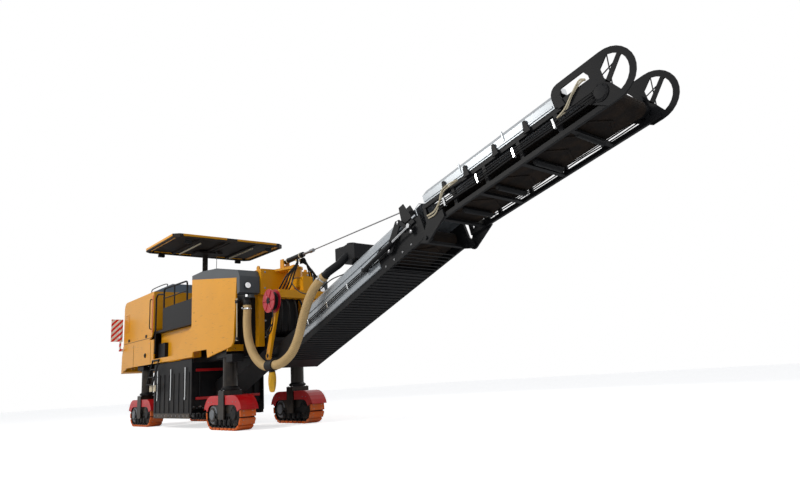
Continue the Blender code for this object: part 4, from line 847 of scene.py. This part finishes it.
# ---- canopy ----
top = canopy_high.z
for side in (-1, 1):
    name = "right" if side < 0 else "left"
    for tag, start, end in (("side", canopy_low.x + 0.10, canopy_high.x - 0.10),):
        low_y, high_y = sorted((side * 1.299, side * 1.16))
        outline = [(low_y, top - 0.052), (high_y, top - 0.052), (high_y, top + 0.004), (low_y, top + 0.004)]
        edge = prism(outline, start, end, "x")
        piece(f"canopy_edge_{tag}_{name}", edge, yellow, "canopy_roof", 0.012, 3)
front_edge = [box((canopy_high.x - 0.07, y0, top - 0.05), (canopy_high.x + 0.004, y1, top + 0.004)) for y0, y1 in ((-1.10, -0.12), (0.12, 1.10))]
piece("canopy_edge_nose", join(*front_edge), yellow, "canopy_roof", 0.012, 3)
rear_edge = [box((canopy_low.x - 0.004, y0, top - 0.05), (canopy_low.x + 0.07, y1, top + 0.004)) for y0, y1 in ((-1.10, -0.12), (0.12, 1.10))]
piece("canopy_edge_tail", join(*rear_edge), yellow, "canopy_roof", 0.012, 3)
lights = []
for x in (canopy_high.x - 0.12, canopy_low.x + 0.12):
    for y in (-0.95, 0.95):
        lights.append(box((x - 0.035, y - 0.07, top - 0.175), (x + 0.035, y + 0.07, top - 0.105)))
piece("canopy_lamps", join(*lights), black, "canopy_roof", 0.01, 3)
tubes = []
for y in (-0.62, 0.62):
    tubes.append(bar((-4.2, y, top - 0.115), (-3.0, y, top - 0.115), 0.018, 14))
piece("canopy_light_tubes", join(*tubes), cream, "canopy_roof")
collar = turned([(0, 0.075), (0.03, 0.085), (0.05, 0.085), (0.055, 0.07)], (-4.201, 0, 2.985), (0, 0, 1), 32)
piece("canopy_post_collar", collar, silver, "machine")

# ---- edge plates: lifting cylinder rods, ribs, skids and ladder flaps ----
for side in (-1, 1):
    name = "right" if side < 0 else "left"
    plate_low, plate_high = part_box(f"side_plate_{name}")
    y = (plate_low.y if side < 0 else plate_high.y) + side * 0.0
    outer = y + side * 0.028
    for number, x in enumerate((plate_low.x + 0.28, (plate_low.x + plate_high.x) / 2, plate_high.x - 0.28)):
        rod = bar((x, y + side * 0.020, 0.62), (x, y + side * 0.020, 1.22), 0.013, 12)
        eye = turned([(0, 0.03), (0.03, 0.03)], (x, y, 0.60), (0, side, 0), 20)
        piece(f"plate_rod_{name}_{number}", join(rod, eye), chrome, f"edge_plate_{name}")
    ribs = []
    for x in np.linspace(plate_low.x + 0.12, plate_high.x - 0.12, 8):
        low_y, high_y = sorted((y, y + side * 0.012))
        ribs.append(box((x - 0.012, low_y, 0.32), (x + 0.012, high_y, 1.12)))
    piece(f"plate_ribs_{name}", join(*ribs), black, f"edge_plate_{name}", 0.002)
    low_y, high_y = sorted((y, y + side * 0.02))
    skid = box((plate_low.x + 0.06, low_y, 0.205), (plate_high.x - 0.06, high_y, 0.30))
    piece(f"plate_skid_{name}", skid, iron, f"edge_plate_{name}", 0.006)
    heads = [(x, y + side * 0.02, 0.255) for x in np.linspace(plate_low.x + 0.15, plate_high.x - 0.15, 10)]
    piece(f"skid_bolts_{name}", bolts(heads, (0, side, 0), 0.011, 0.008), steel, f"edge_plate_{name}")
    flaps = []
    for x in (-4.72, -4.50):
        low_y, high_y = sorted((side * 1.035, side * 1.045))
        flaps.append(box((x, low_y, 0.78), (x + 0.16, high_y, 0.915)))
    piece(f"ladder_flaps_{name}", join(*flaps), cream, f"boarding_ladder_{name}", 0.003)


# ---- milling drum picks ----
def pick_rows():
    """Picks on a double spiral: the turn goes up with the distance from the drum's middle."""
    low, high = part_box("milling_drum")
    radius = (high.z - low.z) / 2 - 0.035
    centre = np.array([(low.x + high.x) / 2, (low.y + high.y) / 2, (low.z + high.z) / 2])
    half = (high.y - low.y) / 2 - 0.03
    holder = loft([[(-0.045, -0.018, -0.01), (0.035, -0.018, -0.01), (0.035, 0.018, -0.01), (-0.045, 0.018, -0.01)],
                   [(-0.02, -0.015, 0.022), (0.02, -0.015, 0.022), (0.02, 0.015, 0.022), (-0.02, 0.015, 0.022)]])
    tip = turned([(0, 0.012), (0.018, 0.010), (0.034, 0.003)], (0.008, 0, 0.0), (0.5, 0, 0.85), 8)
    one = join(holder, tip)
    count = 108
    share = (np.arange(count) + 0.5) / count
    across = (share * 2 - 1) * half
    angle = np.abs(share * 2 - 1) * 5.0 * pi + np.where(np.arange(count) % 2, pi, 0.0)
    places = []
    for y, turn in zip(across, angle):
        out = np.array([cos(turn), 0, sin(turn)])
        ahead = np.array([-sin(turn), 0, cos(turn)])
        places.append((np.column_stack([ahead, (0, 1, 0), out]), centre + out * radius + (0, y, 0)))
    return copies(one, places)


piece("drum_picks", pick_rows(), steel, "milling_drum_rotor")

# ---- mast: bolted plates and hoses of the yoke ----
mast_face = mast_high.x - 0.29
heads = [(-0.42, y, z) for y in (-0.46, 0.46) for z in (1.60, 1.90, 2.20, 2.50, 2.80)]
piece("mast_bolts", bolts(heads, (1, 0, 0), 0.014, 0.010), steel, "machine")
looms = []
for side in (-1, 1):
    for number in range(4):
        out = side * (0.16 + 0.055 * number)
        path = spline([(0.02, side * 0.03, 2.98 - 0.02 * number), (0.10, side * 0.07, 3.00 - 0.03 * number),
                       (0.14, out * 0.6, 2.88 - 0.03 * number), (0.12, out, 2.70 - 0.02 * number), (0.06, out * 1.15, 2.52), (-0.03, out * 1.2, 2.42)], 10)
        looms.append(tube(path, 0.014, 12, (0, 1, 0)))
piece("swivel_hoses", join(*looms), cable, "yoke")
behind = []
for number in range(6):
    y = -0.34 + 0.13 * number
    path = spline([(-0.36, y, 2.34), (-0.24, y * 1.1, 2.20), (-0.20, y * 1.2, 1.95), (-0.26, y * 1.1, 1.72), (-0.38, y, 1.62)], 8)
    behind.append(tube(path, 0.020, 12, (0, 1, 0)))
piece("mast_hoses", join(*behind), cable, "machine")
fits = [turned([(0, 0.022), (0.03, 0.022), (0.045, 0.017)], (0.02, side * (0.03 + 0.02 * n), 2.955), (0, 0, 1), 6) for side in (-1, 1) for n in (0, 1)]
piece("swivel_fittings", join(*fits), brass, "yoke")
hoist_fittings = []
base = np.array([-0.4906, 0.0, 3.03])
direction = np.array([4.03, -0.39, -0.03]) / np.linalg.norm((4.03, -0.39, -0.03))
for reach in (0.16, 0.70):
    hoist_fittings.append(turned([(0, 0.052), (0.03, 0.052)], base + direction * reach, direction, 24))
piece("hoist_bands", join(*hoist_fittings), cream, "hoist_cylinder")

# ---- hose reel: spokes, wound hose, hub ----
reel_centre = np.array([0.1794, (reel_low.y + reel_high.y) / 2, 2.17])
face = reel_low.y
spokes = []
for number in range(6):
    a = number * pi / 3
    out = np.array([cos(a), 0, sin(a)])
    spokes.append(bar(reel_centre + out * 0.05 + (0, face - reel_centre[1] - 0.004, 0), reel_centre + out * 0.19 + (0, face - reel_centre[1] - 0.004, 0), 0.009, 8))
piece("reel_spokes", join(*spokes), reel_red, "reel")
hub = turned([(0, 0.060), (0.010, 0.060), (0.014, 0.030)], (reel_centre[0], face + 0.002, 2.17), (0, -1, 0), 28)
piece("reel_hub", hub, black, "reel")
wound = []
for number, y in enumerate(np.linspace(reel_low.y + 0.028, reel_high.y - 0.028, 6)):
    ring = turned([(0, 0.150), (0.008, 0.160), (0.016, 0.150)], (reel_centre[0], y - 0.008, 2.17), (0, 1, 0), 40)
    wound.append(ring)
piece("reel_hose", join(*wound), cable, "reel")

# ---- conveyor, lower section ----
for side in (-1, 1):
    name = "right" if side < 0 else "left"
    low_y, high_y = sorted((side * 0.442, side * 0.462))
    strip = on_lower(prism([(1.20, 0.36), (4.40, 0.36), (4.40, 0.385), (1.20, 0.385)], low_y, high_y))
    piece(f"cover_ledge_{name}", strip, silver, "conveyor_lower", 0.003)
    low_y, high_y = sorted((side * 0.449, side * 0.457))
    flange = on_lower(prism([(1.22, 0.095), (3.44, 0.095), (3.44, 0.15), (1.22, 0.15)], low_y, high_y))
    piece(f"cover_flange_{name}", flange, silver, "conveyor_lower", 0.002)
    lines = []
    for number, h in enumerate((0.205, 0.235, 0.265)):
        path = spline([(1.2, side * 0.470, h), (1.9, side * 0.472, h - 0.006), (2.6, side * 0.470, h + 0.004), (3.3, side * 0.472, h), (3.62, side * 0.474, h + 0.05 * number - 0.02)], 8)
        lines.append(tube(path, 0.009, 10, (0, 0, 1)))
    piece(f"lower_pipes_{name}", on_lower(join(*lines)), cable, "conveyor_lower")
    holders = [box((s - 0.012, *sorted((side * 0.44, side * 0.486))[:1], 0.19), (s + 0.012, sorted((side * 0.44, side * 0.486))[1], 0.282)) for s in (1.45, 2.05, 2.65, 3.25)]
    piece(f"pipe_holders_{name}", on_lower(join(*holders)), chrome, "conveyor_lower", 0.002)
    heads = [(s, side * 0.441, h) for s in (3.55, 3.75, 3.95, 4.15) for h in (0.06, 0.29)]
    piece(f"lower_bolts_{name}", on_lower(bolts(heads, (0, side, 0), 0.011, 0.009)), steel, "conveyor_lower")
ribs = [on_lower(prism([(s, -0.008), (s + 0.02, -0.008), (s + 0.02, 0.002), (s, 0.002)], -0.42, 0.42)) for s in np.linspace(0.45, 4.1, 44)]
piece("lower_pan_ribs", join(*ribs), black, "conveyor_lower")


# ---- belts with raised chevrons ----
def chevrons(start, end, pitch, height, below, wide=0.27, thick=0.012):
    """V-shaped cleats across a belt: each a bent bar whose point leads, repeated along it."""
    bars = []
    outline = [(0, -wide), (0.03, -wide), (0.16, 0), (0.03, wide), (0, wide), (0.13, 0)]
    for s in np.arange(start, end, pitch):
        moved = [(s + a, b) for a, b in outline]
        bars.append(prism(moved, height, height + thick, "z"))
        bars.append(prism(moved, below - thick, below, "z"))
    return join(*bars)


upper_low, upper_high = 0.075, 0.255
piece("lower_cleats", on_lower(chevrons(0.40, 4.15, 0.30, 0.258, 0.072)), rubber, "conveyor_lower")
piece("upper_cleats", on_upper(chevrons(0.45, 2.65, 0.30, 0.258, 0.072)), rubber, "conveyor_upper")

# ---- conveyor, upper section ----
for side in (-1, 1):
    name = "right" if side < 0 else "left"
    low_y, high_y = sorted((side * 0.442, side * 0.458))
    strip = on_upper(prism([(0.14, 0.36), (2.34, 0.36), (2.34, 0.385), (0.14, 0.385)], low_y, high_y))
    piece(f"upper_cover_ledge_{name}", strip, silver, "conveyor_upper", 0.003)
    seams = [on_upper(box((s, low_y, 0.385), (s + 0.02, high_y - 0.004 if side > 0 else high_y, 0.52))) for s in (0.85, 1.60)]
    piece(f"upper_cover_seams_{name}", join(*seams), silver, "conveyor_upper", 0.002)
    brackets = []
    for s in (0.55, 0.95, 1.45, 1.95, 2.45):
        a, b = sorted((side * 0.452, side * 0.475))
        brackets.append(prism([(s - 0.05, 0.29), (s + 0.05, 0.29), (s + 0.02, 0.44), (s - 0.02, 0.44)], a, b))
    piece(f"upper_brackets_{name}", on_upper(join(*brackets)), black, "conveyor_upper", 0.003)
    lines = []
    for number, h in enumerate((0.12, 0.15, 0.18, 0.21)):
        wave = [0.475 + 0.010 * ((k + number) % 2) for k in range(7)]
        path = spline([(0.30 + 0.42 * k, side * wave[k], h + 0.006 * sin(2.1 * k + number)) for k in range(7)], 8)
        lines.append(tube(path, 0.0085, 10, (0, 0, 1)))
    piece(f"upper_pipes_{name}", on_upper(join(*lines)), cable, "conveyor_upper")
    holders = [on_upper(box((s - 0.014, min(side * 0.465, side * 0.496), 0.105), (s + 0.014, max(side * 0.465, side * 0.496), 0.225))) for s in (0.50, 1.10, 1.70, 2.30)]
    piece(f"upper_pipe_holders_{name}", join(*holders), chrome, "conveyor_upper", 0.002)
    s_tubes = []
    for number in range(2):
        y = side * (0.480 + 0.016 * number)
        path = spline([(0.16, y, 0.10 + 0.03 * number), (0.30, y, 0.10 + 0.03 * number), (0.42, y, 0.20), (0.52, y, 0.30 + 0.02 * number), (0.66, y, 0.315 + 0.02 * number), (0.80, y, 0.315)], 10)
        s_tubes.append(tube(path, 0.010, 12, (0, 1, 0)))
    piece(f"cross_over_tubes_{name}", on_upper(join(*s_tubes)), cream, "conveyor_upper")
    head_tubes = []
    for number in range(2):
        y = side * (0.470 + 0.014 * number)
        path = spline([(2.36, y, 0.20), (2.48, y, 0.22 + 0.02 * number), (2.60, y, 0.33), (2.74, y, 0.40 + 0.02 * number), (2.80, y * 0.97, 0.40)], 10)
        head_tubes.append(tube(path, 0.010, 12, (0, 1, 0)))
    piece(f"head_tubes_{name}", on_upper(join(*head_tubes)), cream, "conveyor_upper")
    motor = join(
        turned([(0, 0.10), (0.012, 0.10), (0.016, 0.075), (0.02, 0.07), (0.022, 0.03)], (2.89, side * 0.455, 0.165), (0, side, 0), 36),
        bolts([(2.89 + 0.085 * cos(a), side * 0.467, 0.165 + 0.085 * sin(a)) for a in np.arange(8) * pi / 4], (0, side, 0), 0.009, 0.007),
    )
    piece(f"head_drum_cap_{name}", on_upper(motor), black, "conveyor_upper")
    y = side * 0.449
    thin = [
        bar((2.86, y, 0.30), (3.24, y, 0.40), 0.007, 8),
        bar((3.10, y, 0.50), (3.02, y, 0.08), 0.007, 8),
        prism([(2.80, 0.50), (2.86, 0.52), (3.10, 0.06), (3.04, 0.04)], y - 0.008, y + 0.008),
        prism([(2.98, 0.24), (3.02, 0.20), (3.25, 0.42), (3.21, 0.45)], y - 0.008, y + 0.008),
    ]
    piece(f"guard_rods_{name}", on_upper(join(*thin)), black, "conveyor_upper")
lamps, glasses = [], []
for s, y in ((2.42, -0.30), (2.42, 0.30)):
    lamps.append(box((s - 0.03, y - 0.06, 0.50), (s + 0.03, y + 0.06, 0.60)))
    glasses.append(box((s + 0.028, y - 0.05, 0.51), (s + 0.036, y + 0.05, 0.59)))
piece("head_lamps", on_upper(join(*lamps)), black, "conveyor_upper", 0.008, 3)
piece("head_lamp_glass", on_upper(join(*glasses)), lens, "conveyor_upper")
rollers = [on_upper(turned([(0, 0.03), (0.01, 0.04), (0.53, 0.04), (0.54, 0.03)], (s, -0.27, 0.030), (0, 1, 0), 16)) for s in (0.6, 1.2, 1.8, 2.4)]
piece("upper_rollers", join(*rollers), black, "conveyor_upper")

# ---- suction fan ----
fan_mid = (np.array(fan_low) + np.array(fan_high)) / 2
fan_parts = [
    turned([(0, 0.11), (0.02, 0.12), (0.05, 0.12), (0.06, 0.09), (0.085, 0.08)], (1.80, -0.08, 2.83), (0, 0, 1), 32),
    box((1.66, -0.24, 2.835), (1.70, 0.08, 2.86)),
]
piece("fan_motor", join(*fan_parts), black, "conveyor_lower", 0.003)
heads = [(1.80 + 0.105 * cos(a), -0.08 + 0.105 * sin(a), 2.875) for a in np.arange(8) * pi / 4]
piece("fan_bolts", bolts(heads, (0, 0, 1), 0.008, 0.006), steel, "conveyor_lower")

# ---- arms over the fold ----
for side in (-1, 1):
    name = "right" if side < 0 else "left"
    low_y, high_y = sorted((side * 0.476, side * 0.492))
    arm = prism([(3.70, 0.16), (3.80, 0.14), (4.10, 0.40), (4.12, 0.48), (4.04, 0.50), (3.70, 0.24)], low_y, high_y)
    rear = prism([(4.04, 0.50), (4.12, 0.48), (4.30, 0.20), (4.24, 0.16)], low_y, high_y)
    piece(f"fold_arm_{name}", on_lower(join(arm, rear)), black, "conveyor_lower", 0.004)
    pins = [turned([(0, 0.026), (0.014, 0.026), (0.018, 0.020)], (s, side * 0.488, h), (0, side, 0), 20) for s, h in ((3.75, 0.19), (4.08, 0.45), (4.27, 0.19))]
    piece(f"fold_pins_{name}", on_lower(join(*pins)), steel, "conveyor_lower")


# ---- free hoses: each is a tube along a smooth path through its points ----
def free_hose(name, points, diameter, body, other=None):
    path = spline(points, 12)
    made = piece(name, tube(path, diameter / 2, 12, (0.3, 1, 0.2)), cable, None if other else body)
    if other:
        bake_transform(made)
    return made


def on_surface(name, point):
    """The point of a CAD node's surface nearest to a point."""
    return tuple(nodes[name].closest_point_on_mesh(Vector(point))[1])


loop_start = on_surface("hose_reel", (0.30, -0.70, 2.00))
loop_end = on_surface("slew_yoke", (0.05, -0.60, 1.78))
loop = [loop_start, (0.335, -0.725, 1.90), (0.33, -0.73, 1.76), (0.25, -0.73, 1.63), (0.12, -0.72, 1.58), (0.03, -0.68, 1.65), loop_end]
free_hose("reel_loop_hose", loop, 0.022, "yoke")
slack_start = on_surface("slew_yoke", (0.24, -0.12, 2.60))
slack_end = on_surface("conveyor_lower_cover", (1.95, -0.46, 2.42))
slack = [slack_start, (0.34, -0.30, 2.56), (0.55, -0.46, 2.42), (0.85, -0.50, 2.24), (1.15, -0.50, 2.16), (1.45, -0.49, 2.19), (1.75, -0.475, 2.30), slack_end]
free_hose("cover_hose", slack, 0.018, "yoke", "conveyor_lower")


# ---- CAD nodes that keep their shape ----
for name in ("rear_body", "mid_body", "rear_hood", "side_panel_right", "side_panel_left", "mast"):
    dress(name, yellow)
for name in ("slew_yoke",):
    dress(name, yellow)
for name in (
    "chassis", "drum_housing", "side_plate_right", "side_plate_left", "scraper", "engine_block",
    "loading_conveyor", "operator_deck", "step_box_right", "step_box_left", "handrail_right",
    "handrail_left", "ladder_right", "ladder_left", "conveyor_lower_frame",
    "conveyor_upper_frame", "head_guard_right", "head_guard_left", "fold_barrel", "hoist_barrel",
    "hose_clamp", "suction_fan",
):
    dress(name, black)
dress("canopy_post", silver)
dress("hood_top", crown_grey)
dress("pod_cap", grey)
dress("canopy", brown)
dress("milling_drum", iron)
dress("hoist_rope", steel)
dress("fold_rod", chrome)
dress("conveyor_lower_cover", silver)
dress("conveyor_upper_cover", silver)
dress("conveyor_lower_belt", rubber)
dress("conveyor_upper_belt", rubber)
dress("hose_reel", reel_red)
dress("operator_seat", vinyl)
dress("warning_plate_right", stripes)
dress("warning_plate_left", stripes)
dress("dust_hose_rear", tan)
dress("dust_hose_front", tan)
dress("drain_bag", bag_cloth)


# ---- floor, light and background ----
def stage_surface():
    """A plain square floor, with an added white glow wherever the camera sees it directly."""
    mesh = bpy.data.meshes.new("floor")
    reach = 60
    corners = [(-reach, -reach, 0), (reach, -reach, 0), (reach, reach, 0), (-reach, reach, 0)]
    mesh.from_pydata(corners, [], [(0, 1, 2, 3)])
    floor = bpy.data.objects.new("floor", mesh)
    floor.location.z = -0.002
    bpy.context.scene.collection.objects.link(floor)
    material = bpy.data.materials.new("floor_white")
    material.use_nodes = True
    tree = material.node_tree
    shader = tree.nodes["Principled BSDF"]
    shader.inputs["Base Color"].default_value = (0.86, 0.86, 0.87, 1)
    shader.inputs["Roughness"].default_value = 0.9
    rays = node(tree, "ShaderNodeLightPath")
    glow = node(tree, "ShaderNodeMath", {0: rays.outputs["Is Camera Ray"], 1: 0.62}, operation="MULTIPLY")
    shader.inputs["Emission Color"].default_value = (1, 1, 1, 1)
    tree.links.new(glow.outputs[0], shader.inputs["Emission Strength"])
    mesh.materials.append(material)
    return floor


def light_the_studio():
    world = bpy.data.worlds.new("studio")
    bpy.context.scene.world = world
    world.use_nodes = True
    tree = world.node_tree
    rays = node(tree, "ShaderNodeLightPath")
    seen = node(
        tree, "ShaderNodeMath", {0: rays.outputs["Is Camera Ray"], 1: rays.outputs["Is Glossy Ray"]},
        operation="MAXIMUM",
    )
    seen = node(
        tree, "ShaderNodeMath", {0: seen.outputs[0], 1: rays.outputs["Is Transmission Ray"]},
        operation="MAXIMUM",
    )
    dim, white = tree.nodes["Background"], node(tree, "ShaderNodeBackground")
    dim.inputs["Color"].default_value = (0.93, 0.96, 1.0, 1)
    dim.inputs["Strength"].default_value = 0.30
    white.inputs["Color"].default_value = (1, 1, 1, 1)
    white.inputs["Strength"].default_value = 1.0
    choose = node(tree, "ShaderNodeMixShader")
    tree.links.new(seen.outputs[0], choose.inputs[0])
    tree.links.new(dim.outputs[0], choose.inputs[1])
    tree.links.new(white.outputs[0], choose.inputs[2])
    tree.links.new(choose.outputs[0], tree.nodes["World Output"].inputs["Surface"])
    for name, place, size, power, colour in (
        ("key", (-3.5, -11.0, 9.0), 3.0, 880, (1.0, 0.97, 0.92)),
        ("fill", (11.0, -6.0, 6.0), 6.0, 190, (0.92, 0.96, 1.0)),
        ("left", (-2.0, 11.0, 8.0), 6.0, 280, (1.0, 1.0, 1.0)),
    ):
        lamp = bpy.data.lights.new(name, "AREA")
        lamp.size, lamp.energy, lamp.color = size, power, colour
        holder = bpy.data.objects.new(name, lamp)
        holder.location = place
        aim = Vector((-1.0, 0, 1.4)) - Vector(place)
        holder.rotation_euler = aim.to_track_quat("-Z", "Y").to_euler()
        bpy.context.scene.collection.objects.link(holder)


stage_surface()
light_the_studio()
bpy.context.scene.view_settings.view_transform = "Standard"
